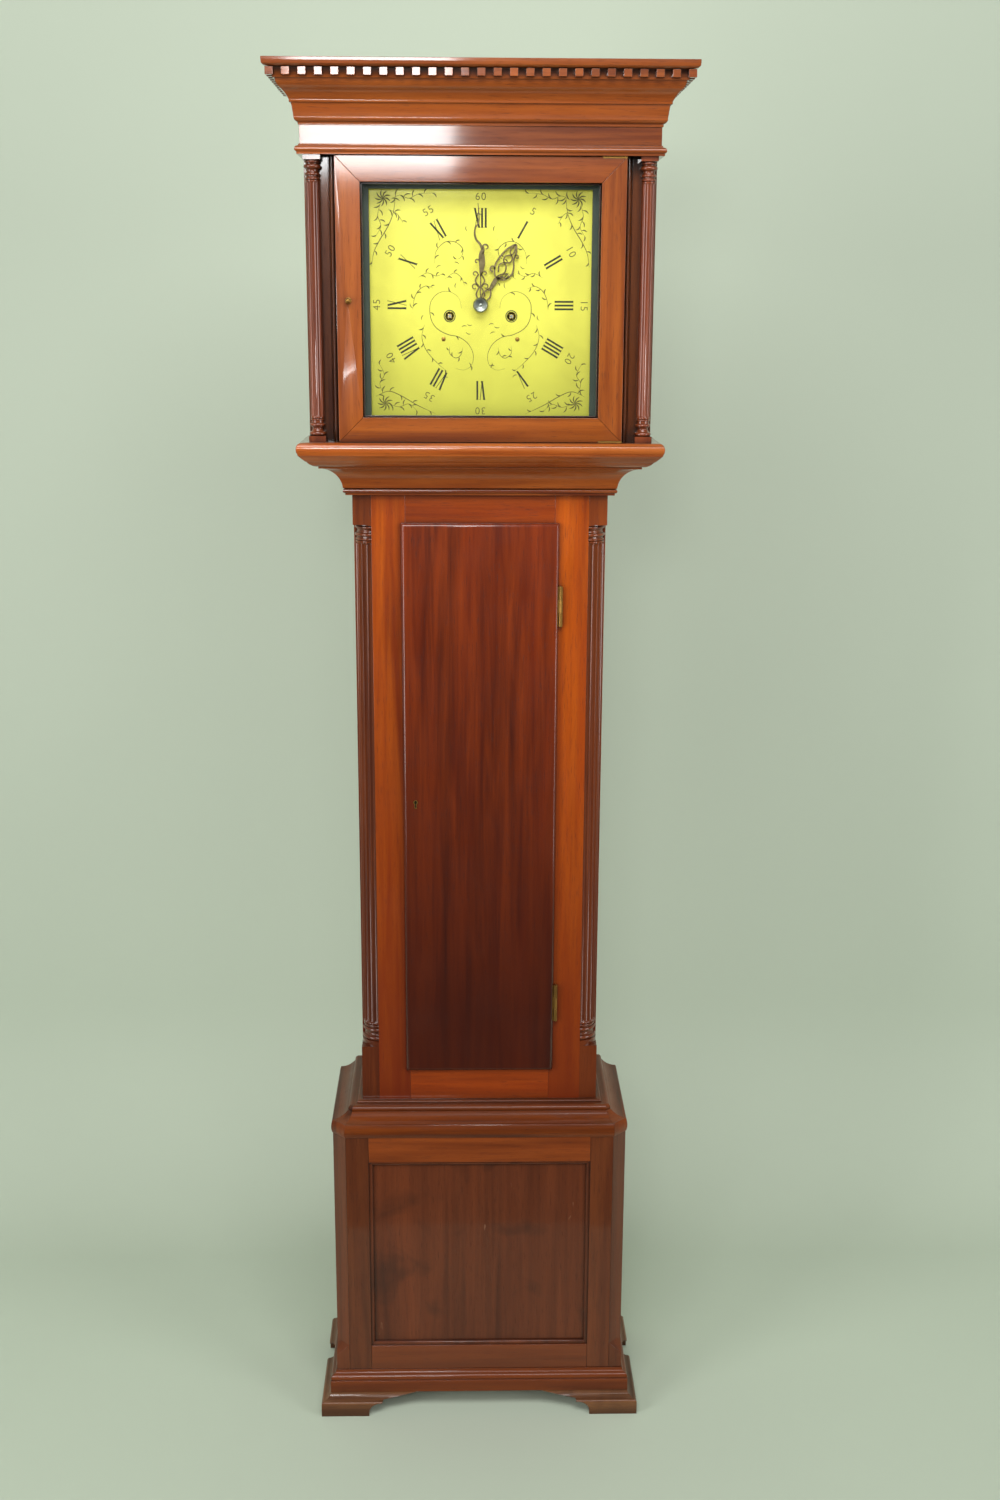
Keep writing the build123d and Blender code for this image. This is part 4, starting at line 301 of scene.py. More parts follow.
def mask_paint():
    """Dark grey green paint, rubbed paler in patches."""
    finish = Finish("mask_paint")
    place = finish.place()
    rubbed = finish.noise(place, 35.0, 4.0).between(0.4, 0.8)
    body = finish.mixed(rubbed * 0.5, colour(58, 66, 58), colour(84, 92, 80))
    relief = finish.bump(finish.noise(place, 300.0, 2.0), 0.00005)
    return finish.surface({"Base Color": body, "Roughness": 0.5 + rubbed * 0.12, "Normal": relief})


def window_glass():
    """Old flat glass: clear, with a reflection that grows at the edge of sight and a slight waviness."""
    finish = Finish("window_glass")
    wave = finish.noise(finish.place(), 14.0, 1.0)
    relief = finish.bump(wave, 0.0003)
    clear = finish.node("ShaderNodeBsdfTransparent", {}, {"Color": (0.96, 0.985, 0.97, 1.0)})
    shine = finish.node("ShaderNodeBsdfPrincipled", {}, {"Base Color": (1.0, 1.0, 1.0, 1.0), "Metallic": 1.0,
                                                         "Roughness": 0.03, "Normal": relief})
    edge = finish.node("ShaderNodeLayerWeight", {}, {"Blend": 0.5}, "Facing")
    finish.output(finish.node("ShaderNodeMixShader", {}, {0: edge ** 5 * 0.7 + 0.012, 1: clear, 2: shine}))
    return finish.material


def gut():
    """Twisted gut line."""
    finish = Finish("gut_line")
    place = finish.place()
    twist = finish.node("ShaderNodeTexWave", {"bands_direction": "DIAGONAL"}, {"Vector": place, "Scale": 500.0})
    body = finish.mixed(twist * 0.6, colour(196, 164, 104), colour(128, 96, 54))
    return finish.surface({"Base Color": body, "Roughness": 0.5, "Normal": finish.bump(twist, 0.0001)})


CASE_WOOD = timber("case_mahogany", colour(154, 76, 24), colour(90, 36, 10), colour(178, 96, 36))
HOOD_BASE_WOOD = timber("hood_base_mahogany", colour(180, 88, 28), colour(108, 44, 12), colour(202, 112, 42))
TRUNK_WOOD = timber("trunk_mahogany", colour(184, 78, 8), colour(116, 42, 6), colour(200, 98, 16),
                    fade=(0.5, 1.4, colour(94, 28, 4), 0.85))
TRUNK_WOOD["x"] = mahogany("trunk_rail_mahogany", "x", colour(160, 62, 10), colour(104, 36, 6),
                           colour(176, 78, 16))
COLUMN_WOOD = mahogany("column_mahogany", "z", colour(118, 52, 16), colour(66, 24, 6), colour(140, 68, 24),
                       fade=(0.6, 1.3, colour(70, 24, 6), 0.5))
HOOD_COLUMN_WOOD = mahogany("hood_column_mahogany", "z", colour(132, 58, 26), colour(76, 30, 12),
                            colour(152, 76, 38))
PLINTH_WOOD = timber("plinth_mahogany", colour(98, 46, 20), colour(58, 26, 12), colour(114, 58, 26), gloss=0.5)
PLINTH_WOOD["x"] = mahogany("plinth_rail_mahogany", "x", colour(138, 64, 22), colour(90, 38, 12),
                            colour(154, 76, 28), gloss=0.5, fade=(0.1, 0.4, colour(80, 38, 18), 0.6))
MOULD_WOOD = timber("moulding_mahogany", colour(112, 48, 10), colour(62, 24, 6), colour(130, 62, 16), gloss=0.3)
DOOR_WOOD = timber("trunk_door_mahogany", colour(134, 46, 8), colour(70, 20, 4), colour(160, 64, 12),
                   fade=(0.66, 1.4, colour(48, 12, 3), 0.85))
PANEL_WOOD = mahogany("plinth_panel_mahogany", "z", colour(100, 48, 24), colour(72, 34, 18),
                      colour(108, 54, 28), gloss=0.35, stains=True)
HOOD_DOOR_WOOD = timber("hood_door_mahogany", colour(162, 80, 20), colour(108, 46, 10), colour(184, 100, 32))
FOOT_WOOD = timber("foot_mahogany", colour(108, 62, 30), colour(70, 36, 18), colour(146, 98, 60), gloss=0.4,
                   stains=True)
DARK_BEAD = mahogany("bead_mahogany", "x", colour(58, 26, 14), colour(34, 14, 8), colour(74, 34, 18))
OAK = {along: raw_oak(along) for along in "xyz"}
BRASS = metal("case_brass", colour(224, 186, 96), colour(150, 112, 52))
OLD_BRASS = metal("hinge_brass", colour(168, 128, 66), colour(92, 66, 34), 0.4)
MOVEMENT_BRASS = metal("movement_brass", colour(228, 190, 104), colour(178, 136, 66), 0.24, 0.1, 40.0)
BELL_METAL = metal("bell_metal", colour(206, 190, 156), colour(150, 134, 100), 0.2)
STEEL = metal("arbor_steel", colour(176, 176, 172), colour(120, 118, 112), 0.25)
HAND_STEEL = metal("hand_steel", colour(134, 116, 86), colour(84, 68, 46), 0.4, 0.15, 120.0)
DIAL_BRASS = dial_brass()
FIGURE_WAX = wax("figure_wax", colour(34, 32, 22))
SCROLL_WAX = wax("scroll_wax", colour(98, 88, 36))
MASK_PAINT = mask_paint()
GLASS = window_glass()
GUT = gut()
# Near-black finish for the keyhole's painted shadow.
KEYHOLE_PAINTED_SHADOW = wax("keyhole_painted_shadow", colour(12, 9, 7))


# Making pieces

def linked(name, data):
    """A new object in the scene."""
    obj = bpy.data.objects.new(name, data)
    bpy.context.scene.collection.objects.link(obj)
    return obj


def in_mm(points):
    """Points given in millimetres, in metres."""
    return [(a * MM, b * MM) for a, b in points]


def skin(shape, rings, closed=True):
    """Faces from each row of vertices to the next."""
    for first, second in zip(rings, rings[1:]):
        for i in range(len(first) if closed else len(first) - 1):
            j = (i + 1) % len(first)
            shape.faces.new((first[i], first[j], second[j], second[i]))


def cleaned(node):
    """A node's shape with its flat triangles joined into faces."""
    shape = bmesh.new()
    shape.from_mesh(nodes[node].data)
    bmesh.ops.remove_doubles(shape, verts=shape.verts, dist=0.000002)
    bmesh.ops.dissolve_limit(shape, angle_limit=radians(0.5), verts=shape.verts, edges=shape.edges)
    return shape


def finished(obj, body, materials):
    """Gives a new piece its materials and its body."""
    for material in materials:
        obj.data.materials.append(material)
    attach(obj, body)
    return obj


def mesh_piece(name, shape, body, materials, smooth=35):
    """A bmesh as a piece, smooth where its faces meet at less than an angle."""
    mesh = bpy.data.meshes.new(name)
    shape.normal_update()
    shape.to_mesh(mesh)
    shape.free()
    for face in mesh.polygons:
        face.use_smooth = True
    mesh.set_sharp_from_angle(angle=radians(smooth))
    return finished(linked(name, mesh), body, materials)


def eased(obj, width, segments=2):
    """Rounds a piece's hard edges a little, as use and polish do."""
    ease = obj.modifiers.new("eased_edges", "BEVEL")
    ease.width = width
    ease.segments = segments
    ease.limit_method = "ANGLE"
    ease.angle_limit = radians(40)
    ease.harden_normals = True
    ease.use_clamp_overlap = True
    return obj


def body_of(node):
    return nodes[node]["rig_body"]


def boards(node, wood, ease):
    """A node's boards again, each with its own grain along its length and eased edges."""
    shape = cleaned(node)
    board_number = shape.faces.layers.float.new("board")
    waiting = set(shape.faces)
    count = 0
    while waiting:
        start = min(waiting, key=lambda face: face.index)
        island, edge = {start}, [start]
        while edge:
            for line in edge.pop().edges:
                for neighbour in line.link_faces:
                    if neighbour not in island:
                        island.add(neighbour)
                        edge.append(neighbour)
        waiting -= island
        corners = [vert.co for face in island for vert in face.verts]
        spans = [max(c[i] for c in corners) - min(c[i] for c in corners) for i in range(3)]
        for face in island:
            face[board_number] = count + 1
            face.material_index = spans.index(max(spans))
        count += 1
    obj = mesh_piece(node + "_polished", shape, body_of(node), [wood[a] for a in "xyz"])
    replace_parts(obj, node)
    return eased(obj, ease)


def coated(node, material):
    """A node whose shape is right gets its finish."""
    mesh = nodes[node].data
    for index in range(max(1, len(mesh.materials))):
        if index < len(mesh.materials):
            mesh.materials[index] = material
        else:
            mesh.materials.append(material)


def lathe(shape, centre, axis, profile, steps):
    """Turns a profile of (reach, along) points about an axis; the ends close on the axis."""
    along = Vector(axis).normalized()
    side = along.orthogonal().normalized()
    other = along.cross(side)
    rings = []
    for reach, rise in profile:
        base = Vector(centre) + along * rise
        if reach < 1e-7:
            rings.append([shape.verts.new(base)])
        else:
            turns = [2 * pi * s / steps for s in range(steps)]
            rings.append([shape.verts.new(base + (side * cos(t) + other * sin(t)) * reach) for t in turns])
    for first, second in zip(rings, rings[1:]):
        for s in range(steps):
            t = (s + 1) % steps
            if len(first) == 1 and len(second) == 1:
                continue
            if len(first) == 1:
                corners = (first[0], second[t], second[s])
            elif len(second) == 1:
                corners = (first[s], first[t], second[0])
            else:
                corners = (first[s], first[t], second[t], second[s])
            shape.faces.new(corners)


def arc(centre, radius, start, stop, steps=8):
    """Points of an arc in (reach, along), angles in degrees."""
    return [(centre[0] + radius * cos(radians(start + (stop - start) * i / steps)),
             centre[1] + radius * sin(radians(start + (stop - start) * i / steps))) for i in range(steps + 1)]


def torus_profile(neck, low, high):
    """A half round ring that stands out of a neck between two levels."""
    radius = (high - low) / 2
    return arc((neck, (low + high) / 2), radius, -90, 90, 10)


def prism(shape, outline, base, lift):
    """A closed outline of points, pushed along a vector."""
    low = [shape.verts.new(Vector(p) + Vector(base)) for p in outline]
    high = [shape.verts.new(v.co + Vector(lift)) for v in low]
    shape.faces.new(list(reversed(low)))
    shape.faces.new(high)
    skin(shape, (low, high))


# Columns

FLUTE_STEPS = 12
FLUTE_SHARE = 0.84  # of the shaft's surface, the rest being fillets between the flutes
FLUTE_MARGIN = 1.5 * MM  # plain shaft beyond each end of the flutes


def fluted_shaft(shape, centre, radius, low, high, flutes, depth, start=0.0, sweep=360.0):
    """A shaft whose hollow flutes end in round stops, as a grid of rings from bottom to top."""
    around = flutes * FLUTE_STEPS
    closed = sweep > 359
    stop = 1.2 * depth
    span = high - low
    levels = [0.0] + [FLUTE_MARGIN + stop * (1 - cos(radians(a))) for a in (0, 30, 60, 90)]
    levels += [span - level for level in reversed(levels)]
    rings = []
    for level in levels:
        share = (min(level, span - level) - FLUTE_MARGIN) / stop
        sunk = sin(radians(90 * max(0.0, min(1.0, share))))
        ring = []
        for index in range(around if closed else around + 1):
            turn = radians(start + sweep * index / around)
            across = ((index % FLUTE_STEPS) / FLUTE_STEPS - 0.5) / (FLUTE_SHARE / 2)
            reach = radius - depth * max(0.0, 1 - across * across) ** 0.5 * sunk
            ring.append(shape.verts.new((centre[0] + reach * cos(turn), centre[1] + reach * sin(turn),
                                         low + level)))
        rings.append(ring)
    skin(shape, rings, closed)


def hood_columns():
    """Two fluted columns with turned bases and capitals between square blocks."""
    low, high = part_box("hood_columns")
    half = 11.5 * MM
    y = low.y + half
    for side, x in (("left", low.x + half), ("right", high.x - half)):
        shape = bmesh.new()
        foot, head = low.z + 9 * MM, high.z - 6 * MM
        shaft = 9.3 * MM
        base = foot + 24 * MM
        capital = head - 26 * MM
        for z0, z1 in ((low.z, foot), (head, high.z)):
            prism(shape, [(x - half, y - half, 0), (x + half, y - half, 0), (x + half, y + half, 0),
                          (x - half, y + half, 0)], (0, 0, z0), (0, 0, z1 - z0))
        rise = [(0, 0), (8.6, 0)] + torus_profile(8.6, 0, 6) + [(8.2, 6.6)] + \
            arc((9.2, 9.6), 2.2, 225, 135, 6) + [(8.4, 12.4)] + \
            torus_profile(8.4, 12.6, 17) + [(8.6, 17.6), (8.3, 20)] + \
            torus_profile(8.3, 20.6, 23) + [(9.3, 24.2), (0, 24.2)]
        lathe(shape, (x, y, foot), UP, in_mm(rise), 40)
        drop = [(0, -0.2), (9.3, -0.2), (9.3, 0.4)] + torus_profile(8.4, 0.8, 4) + [(8.2, 5)] + \
            torus_profile(8.2, 6, 10) + [(7.8, 11.2), (8.0, 13.5)] + torus_profile(8.6, 14.5, 20.5) + \
            [(8.8, 21.5)] + torus_profile(9.0, 22, 25) + [(9.6, 26), (0, 26)]
        lathe(shape, (x, y, capital), UP, in_mm(drop), 40)
        fluted_shaft(shape, (x, y), shaft, base, capital, 10, 1.3 * MM)
        obj = mesh_piece("hood_column_" + side, shape, "hood", [HOOD_COLUMN_WOOD], 50)
        if side == "left":
            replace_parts(obj, "hood_columns")


def quarter_columns():
    """Fluted quarter columns let into the trunk's front corners."""
    low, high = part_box("quarter_columns")
    reach = high.y - low.y
    for side in (-1, 1):
        shape = bmesh.new()
        x, y = side * (high.x - reach), high.y
        start = -90.0 if side > 0 else 180.0
        foot, base, capital, head = 0.601, 0.636, 1.375, 1.399
        for z0, z1 in ((low.z, foot), (head, high.z)):
            corner = [(x, y, 0), (x + side * reach, y, 0), (x + side * reach, y - reach, 0), (x, y - reach, 0)]
            prism(shape, corner[::side], (0, 0, z0), (0, 0, z1 - z0))
        rings = {foot: [(26, 0), (26, 7), (24, 8)] + torus_profile(22.6, 9, 15) + [(22.4, 16.5)] +
                 arc((24.6, 19.4), 2.8, 225, 135, 6) + torus_profile(22.4, 22.6, 28) + [(23, 30)] +
                 torus_profile(22.8, 30.6, 33.6) + [(24.4, 35)],
                 capital: [(24.4, 0)] + torus_profile(22.8, 1, 4) + [(22.6, 5.5)] +
                 torus_profile(22.4, 6.5, 12) + arc((24.4, 15), 2.6, 225, 135, 6) +
                 torus_profile(22.6, 17.6, 22) + [(26, 22.6), (26, 24)]}
        for level, profile in rings.items():
            around = 14
            grid = []
            for r, z in profile:
                turns = [radians(start + 90 * i / around) for i in range(around + 1)]
                grid.append([shape.verts.new((x + r * MM * cos(t), y + r * MM * sin(t), level + z * MM))
                             for t in turns])
            skin(shape, grid, False)
        fluted_shaft(shape, (x, y), 24.4 * MM, base, capital, 5, 2.6 * MM, start, 90.0)
        name = "quarter_column_" + ("right" if side > 0 else "left")
        obj = mesh_piece(name, shape, "case", [COLUMN_WOOD], 50)
        if side > 0:
            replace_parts(obj, "quarter_columns")


# The dial's engraving

def on_dial(radius, clock_angle):
    """A place on the dial at a distance from its centre and an angle clockwise from twelve, in millimetres."""
    turn = radians(clock_angle)
    return Vector((radius * sin(turn), radius * cos(turn)))


def across_at(points, i):
    """The direction across a line of points at one of them."""
    run = (points[min(len(points) - 1, i + 1)] - points[max(0, i - 1)]).normalized()
    return Vector((-run.y, run.x))


def engraved(shape, points, widths, lift=1.0):
    """A tapering cut along points given in millimetres from the dial's centre."""
    y = DIAL_FACE - ENGRAVING_PROUD * lift
    pairs = []
    for i, point in enumerate(points):
        width = widths(i / (len(points) - 1)) if callable(widths) else widths
        half = across_at(points, i) * width / 2
        pairs.append([shape.verts.new((DIAL_CENTRE.x + p.x * MM, y, DIAL_CENTRE.z + p.y * MM))
                      for p in (point + half, point - half)])
    skin(shape, pairs, False)


def swelling(width, ends=0.12):
    """A cut that is thin at both ends and full in the middle."""
    return lambda share: max(ends, width * sin(pi * share) ** 0.7)


def numeral_strokes(text):
    """Strokes of a Roman numeral as (foot, head, width), both places across from its middle."""
    widths = {"I": 4.9, "V": 8.6, "X": 8.8}
    total = sum(widths[c] for c in text)
    strokes, x = [], -total / 2
    for letter in text:
        middle = x + widths[letter] / 2
        if letter == "I":
            strokes.append((middle, middle, 2.5))
        elif letter == "V":
            strokes.append((middle + 0.3, middle - 2.8, 2.5))
            strokes.append((middle + 0.3, middle + 2.8, 0.8))
        else:
            strokes.append((middle + 2.9, middle - 2.9, 2.5))
            strokes.append((middle - 2.9, middle + 2.9, 0.7))
        x += widths[letter]
    return strokes


def hour_figures(shape):
    """Twelve Roman hour figures that stand on the centre, tops outwards."""
    inner, outer = 101.0, 126.0
    for hour, text in enumerate("I II III IIII V VI VII VIII IX X XI XII".split(), 1):
        turn = radians(30 * hour)
        out = Vector((sin(turn), cos(turn)))
        across = Vector((cos(turn), -sin(turn)))
        for foot, head, width in numeral_strokes(text):
            points = [out * inner + across * foot, out * outer + across * head]
            engraved(shape, points, width, 2.0)
            serif = across * (width / 2 + 0.7)
            for end in points:
                engraved(shape, [end - serif, end + serif], 0.35, 2.2)


def leaf(shape, root, angle, length, width=1.6):
    """A pointed leaf cut as one swelling stroke."""
    run = Vector((cos(angle), sin(angle)))
    side = Vector((-run.y, run.x))
    points = [root + run * length * i / 6 + side * length * 0.18 * sin(pi * i / 6) for i in range(7)]
    engraved(shape, points, swelling(width), 1.5)


def through(knots, steps=7):
    """A smooth line of points through a few knots."""
    ends = [knots[0], *knots, knots[-1]]
    points = []
    for a, b, c, d in zip(ends, ends[1:], ends[2:], ends[3:]):
        a, b, c, d = Vector(a), Vector(b), Vector(c), Vector(d)
        for t in [i / steps for i in range(steps)]:
            points.append(b + (c - a) * t / 2 + (a * 2 - b * 5 + c * 4 - d) * t * t / 2
                          + (b * 3 - a - c * 3 + d) * t ** 3 / 2)
    return points + [Vector(knots[-1])]


def vine(shape, knots, width, leaves, leaf_long):
    """An engraved stem with leaves on both sides in turn."""
    points = through(knots)
    engraved(shape, points, swelling(width * 1.15, 0.3), 1.4)
    for n in range(leaves):
        index = int((n + 0.5) / leaves * (len(points) - 1))
        run = points[index + 1] - points[index]
        way = atan2(run.y, run.x) + (0.8 if n % 2 else -0.8)
        leaf(shape, points[index], way, leaf_long * (1 - 0.3 * n / leaves))


# Stems of one half of the dial, as knots, width, leaves and leaf length, in millimetres from its centre
STEMS = (
    (((26, -4), (30, 10), (44, 18), (58, 15), (67, 5), (69, -8), (66, -22), (58, -32), (44, -39), (30, -42),
      (17, -51), (10, -65), (12, -79), (22, -86), (34, -84)), 0.8, 4, 8.0),
    (((24, -56), (27, -66), (34, -70), (42, -64), (42, -55)), 0.8, 4, 7.0),
    (((92, -6), (90, 8), (84, 19), (74, 25), (64, 22)), 0.7, 6, 8.0),
    (((76, -26), (80, -42), (74, -60), (60, -76), (46, -88)), 0.7, 7, 8.0),
    (((62, 54), (60, 70), (48, 82), (34, 82), (24, 73), (27, 62), (36, 60)), 0.8, 7, 8.0),
    (((84, 36), (72, 42), (60, 38), (50, 42)), 0.6, 5, 8.0),
    (((48, 34), (36, 42), (26, 36), (22, 26)), 0.6, 4, 7.0),
    (((114, 143), (117, 120), (125, 101), (136, 84), (144, 68), (147, 50)), 1.0, 7, 9.0),
    (((120, 137), (108, 142), (96, 138), (82, 144), (60, 145)), 0.6, 9, 11.0),
    (((134, 132), (138, 116), (134, 102), (142, 88)), 0.6, 7, 10.0),
    (((124, 124), (112, 118), (104, 106)), 0.5, 4, 9.0),
    (((144, -122), (127, -115), (111, -120), (86, -134), (62, -145)), 1.0, 5, 9.0),
    (((134, -118), (138, -104), (132, -92), (140, -76)), 0.6, 7, 10.0),
    (((126, -132), (112, -136), (98, -132), (86, -143)), 0.6, 7, 10.0),
)
LEAVES = ((11, -26, 8), (26, -29, 172), (13, -38, 20), (46, -22, 95), (34, 22, 100), (60, 48, 150),
          (36, 56, 200), (92, -4, 60), (80, -20, 110), (18, 96, 80), (44, -96, 30), (16, -76, 250))


def dial_engraving():
    """Figures and leafy scrolls cut in the dial and filled with wax."""
    shape = bmesh.new()
    hour_figures(shape)
    for x in (-WINDING_SIDE, WINDING_SIDE):
        points = [Vector((x, -WINDING_DROP)) + Vector((cos(a), sin(a))) * 7.5 for a in
                  [2 * pi * i / 40 for i in range(41)]]
        engraved(shape, points, 1.3)
    mesh_piece("dial_hour_figures", shape, "case", [FIGURE_WAX], 60)
    shape = bmesh.new()
    for side in (-1, 1):
        for knots, width, leaves, leaf_long in STEMS:
            vine(shape, [(side * x, z) for x, z in knots], width, leaves, leaf_long)
        for x, z, angle in LEAVES:
            run = Vector((side * cos(radians(angle)), sin(radians(angle))))
            leaf(shape, Vector((side * x, z)), atan2(run.y, run.x), 7.5, 1.1)
        for z in (138, -131):
            for petal in range(9):
                leaf(shape, Vector((side * 131, z)), petal * pi / 4.5 + 0.3, 11.0, 1.8)
    mesh_piece("dial_scrolls", shape, "case", [SCROLL_WAX], 60)
    for side in (-1, 1):
        shape = bmesh.new()
        pin = (DIAL_CENTRE.x + side * 50.4 * MM, DIAL_FACE, DIAL_CENTRE.z - 45 * MM)
        lathe(shape, pin, FRONT, in_mm([(3.0, 0), (2.8, 0.5), (1.8, 0.9), (0, 1.05)]), 24)
        mesh_piece("dial_pin_%d" % (side + 2), shape, "case", [OLD_BRASS], 40)
    for train, side in TRAINS:
        shape = bmesh.new()
        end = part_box(train + "_barrel")[0].y - 0.1 * MM
        half = 2.0
        corners = ((-half, -half), (half, -half), (half, half), (-half, half))
        prism(shape, [(x * MM, 0, z * MM) for x, z in corners],
              (DIAL_CENTRE.x + side * WINDING_SIDE * MM, end, DIAL_CENTRE.z - WINDING_DROP * MM),
              (0, 0.09 * MM, 0))
        mesh_piece(train + "_square_end", shape, train + "_barrel", [STEEL], 30)


def minute_figures():
    """The minutes round the dial's edge, every fifth, tops outwards."""
    for minute in range(5, 61, 5):
        text = bpy.data.curves.new("minute_%d" % minute, "FONT")
        text.body = str(minute)
        text.align_x = "CENTER"
        text.align_y = "CENTER"
        text.size = 14 * MM
        text.space_character = 1.15
        text.offset = -0.00012
        figure = linked("minute_%d" % minute, text)
        place = on_dial(140.5, 6 * minute)
        spot = (DIAL_CENTRE.x + place.x * MM, DIAL_FACE - ENGRAVING_PROUD * 2, DIAL_CENTRE.z + place.y * MM)
        figure.matrix_world = (Matrix.Translation(spot) @ Matrix.Rotation(radians(6 * minute), 4, "Y")
                               @ Matrix.Rotation(pi / 2, 4, "X"))
        bpy.context.view_layer.update()
        mesh = bpy.data.meshes.new_from_object(figure.evaluated_get(bpy.context.evaluated_depsgraph_get()))
        mesh.transform(figure.matrix_world)
        bpy.data.objects.remove(figure)
        finished(linked("minute_figure_%d" % minute, mesh), "case", [SCROLL_WAX])


# Hands

def hand_stroke(shape, points, width, y, thick):
    """A flat bar of steel along points from the hand's root, tapering as width says."""
    left, right = [], []
    for i, point in enumerate(points):
        half = across_at(points, i) * width(i / (len(points) - 1)) / 2
        left.append(point + half)
        right.append(point - half)
    outline = left + right[::-1]
    prism(shape, [(p.x * MM, 0, p.y * MM) for p in outline], (0, y, 0), (0, thick, 0))


def curl(centre, radius, start, sweep):
    """Points of a scroll that winds inwards from its radius, angles in degrees."""
    points = []
    for i in range(17):
        share = i / 16
        turn = radians(start + sweep * share)
        reach = radius * (1 - 0.6 * share)
        points.append(centre + Vector((cos(turn), sin(turn))) * reach)
    return points


def make_hand(node, name, strokes, turn, thick, hub, bore):
    """A pierced hand cut from plate, turned about the dial's centre."""
    low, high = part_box(node)
    y = high.y - thick if node == "minute_hand" else low.y
    shape = bmesh.new()
    lathe(shape, (0, y, 0), BACK, [(bore, 0), (hub, 0), (hub, thick), (bore, thick), (bore, 0)], 40)
    for points, width in strokes:
        hand_stroke(shape, points, width, y, thick)
    bmesh.ops.transform(shape, verts=shape.verts, matrix=Matrix.Translation((0, 0, DIAL_CENTRE.z))
                        @ Matrix.Rotation(radians(turn), 4, "Y"))
    obj = mesh_piece(name, shape, body_of(node), [HAND_STEEL], 30)
    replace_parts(obj, node)
    return eased(obj, 0.00018, 1)


def even(width):
    """A stroke of one width."""
    return lambda share: width


def fine(width, tip):
    """A stroke that narrows evenly to its tip."""
    return lambda share: width + (tip - width) * share


def hands():
    """Serpentine hands of scrollwork: a pierced root, a leaf, and a winding blade with a pointed tip."""
    minute = []
    for side in (-1, 1):
        minute += [(through([(side * 3.5, 8), (side * 5.6, 15), (side * 0.9, 24)]), even(2.0)),
                   (through([(side * 0.9, 24), (side * 6.2, 32), (side * 1.4, 41)]), even(2.0)),
                   (curl(Vector((side * 7.4, 24)), 4.6, 90 + side * 90, -side * 320), fine(2.0, 1.3)),
                   (curl(Vector((side * 6.4, 41)), 3.6, 90 + side * 90, -side * 300), fine(1.9, 1.2))]
    minute += [(through([(0, 8), (0.5, 24), (1, 40)]), even(1.6)),
               (through([(1, 38), (3.2, 52), (3.0, 64), (4.2, 74)]), swelling(8.6, 2.4)),
               (curl(Vector((9.0, 75)), 4.6, 190, -290), fine(2.6, 1.6)),
               (curl(Vector((-3.4, 57)), 3.4, 0, 290), fine(2.0, 1.3)),
               (through([(3.6, 66), (6.2, 70), (6, 76)]), even(1.9)),
               (through([(4.2, 72), (1.6, 79), (-3.4, 85), (-5.4, 92), (-4.6, 100), (-0.6, 106), (0.8, 112),
                         (0.5, 122), (0, 132)]), fine(3.4, 1.1)),
               (through([(-4, 117), (0, 118.5), (4, 117)]), swelling(1.6, 0.7))]
    make_hand("minute_hand", "minute_hand_steel", minute, -1.6, 1.2 * MM, 8 * MM, 3.4 * MM)
    hour = []
    for side in (-1, 1):
        hour += [(through([(side * 3.6, 9), (side * 5.4, 16), (side * 1.0, 25)]), even(2.2))]
    hour += [(through([(0, 22), (0.4, 34), (0.4, 45)]), swelling(6.0, 2.6)),
             (through([(0.5, 43), (9, 44), (15, 55), (13, 65), (7.6, 74), (5.6, 84), (0.2, 93)]), even(2.3)),
             (through([(0, 42), (-5, 45), (-10.4, 56), (-10.2, 68), (-8, 79), (-3.6, 88), (0, 93)]), even(2.2)),
             (through([(0, 45), (5.5, 53), (3.4, 61), (-3.4, 66), (-4, 73), (2.2, 78), (2.6, 85), (0, 91)]),
              even(1.9)),
             (through([(-2, 50), (-5.6, 58), (-1.6, 64), (5, 68), (5, 75), (-1.6, 80), (-2, 87), (0, 92)]),
              even(1.8)),
             (curl(Vector((-10.5, 50)), 4.4, -60, -310), fine(2.6, 1.6)),
             (curl(Vector((9.6, 51)), 4.0, 240, 300), fine(2.2, 1.4)),
             (through([(1, 40), (5, 46), (7, 48)]), swelling(3.6, 1.4)),
             (curl(Vector((9.4, 79)), 3.0, 180, -300), fine(1.9, 1.2))]
    make_hand("hour_hand", "hour_hand_steel", hour, 31, 1.3 * MM, 9 * MM, 4.7 * MM)
    low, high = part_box("minute_hand")
    shape = bmesh.new()
    profile = [(3.4, 0), (10.4, 0), (10.4, 0.6)] + arc((5.4, 0.6), 5.0, 0, 60, 8)
    profile += [(2.3, high.y / MM - low.y / MM - 1.25)]
    lathe(shape, (0, high.y - 1.25 * MM, DIAL_CENTRE.z), FRONT, in_mm(profile), 40)
    lathe(shape, (0, low.y + 0.3 * MM, DIAL_CENTRE.z), FRONT, in_mm([(2.3, 0), (1.9, 0.25), (0, 0.3)]), 20)
    mesh_piece("hand_collet", shape, "minute_hand", [STEEL], 40)


# Fittings

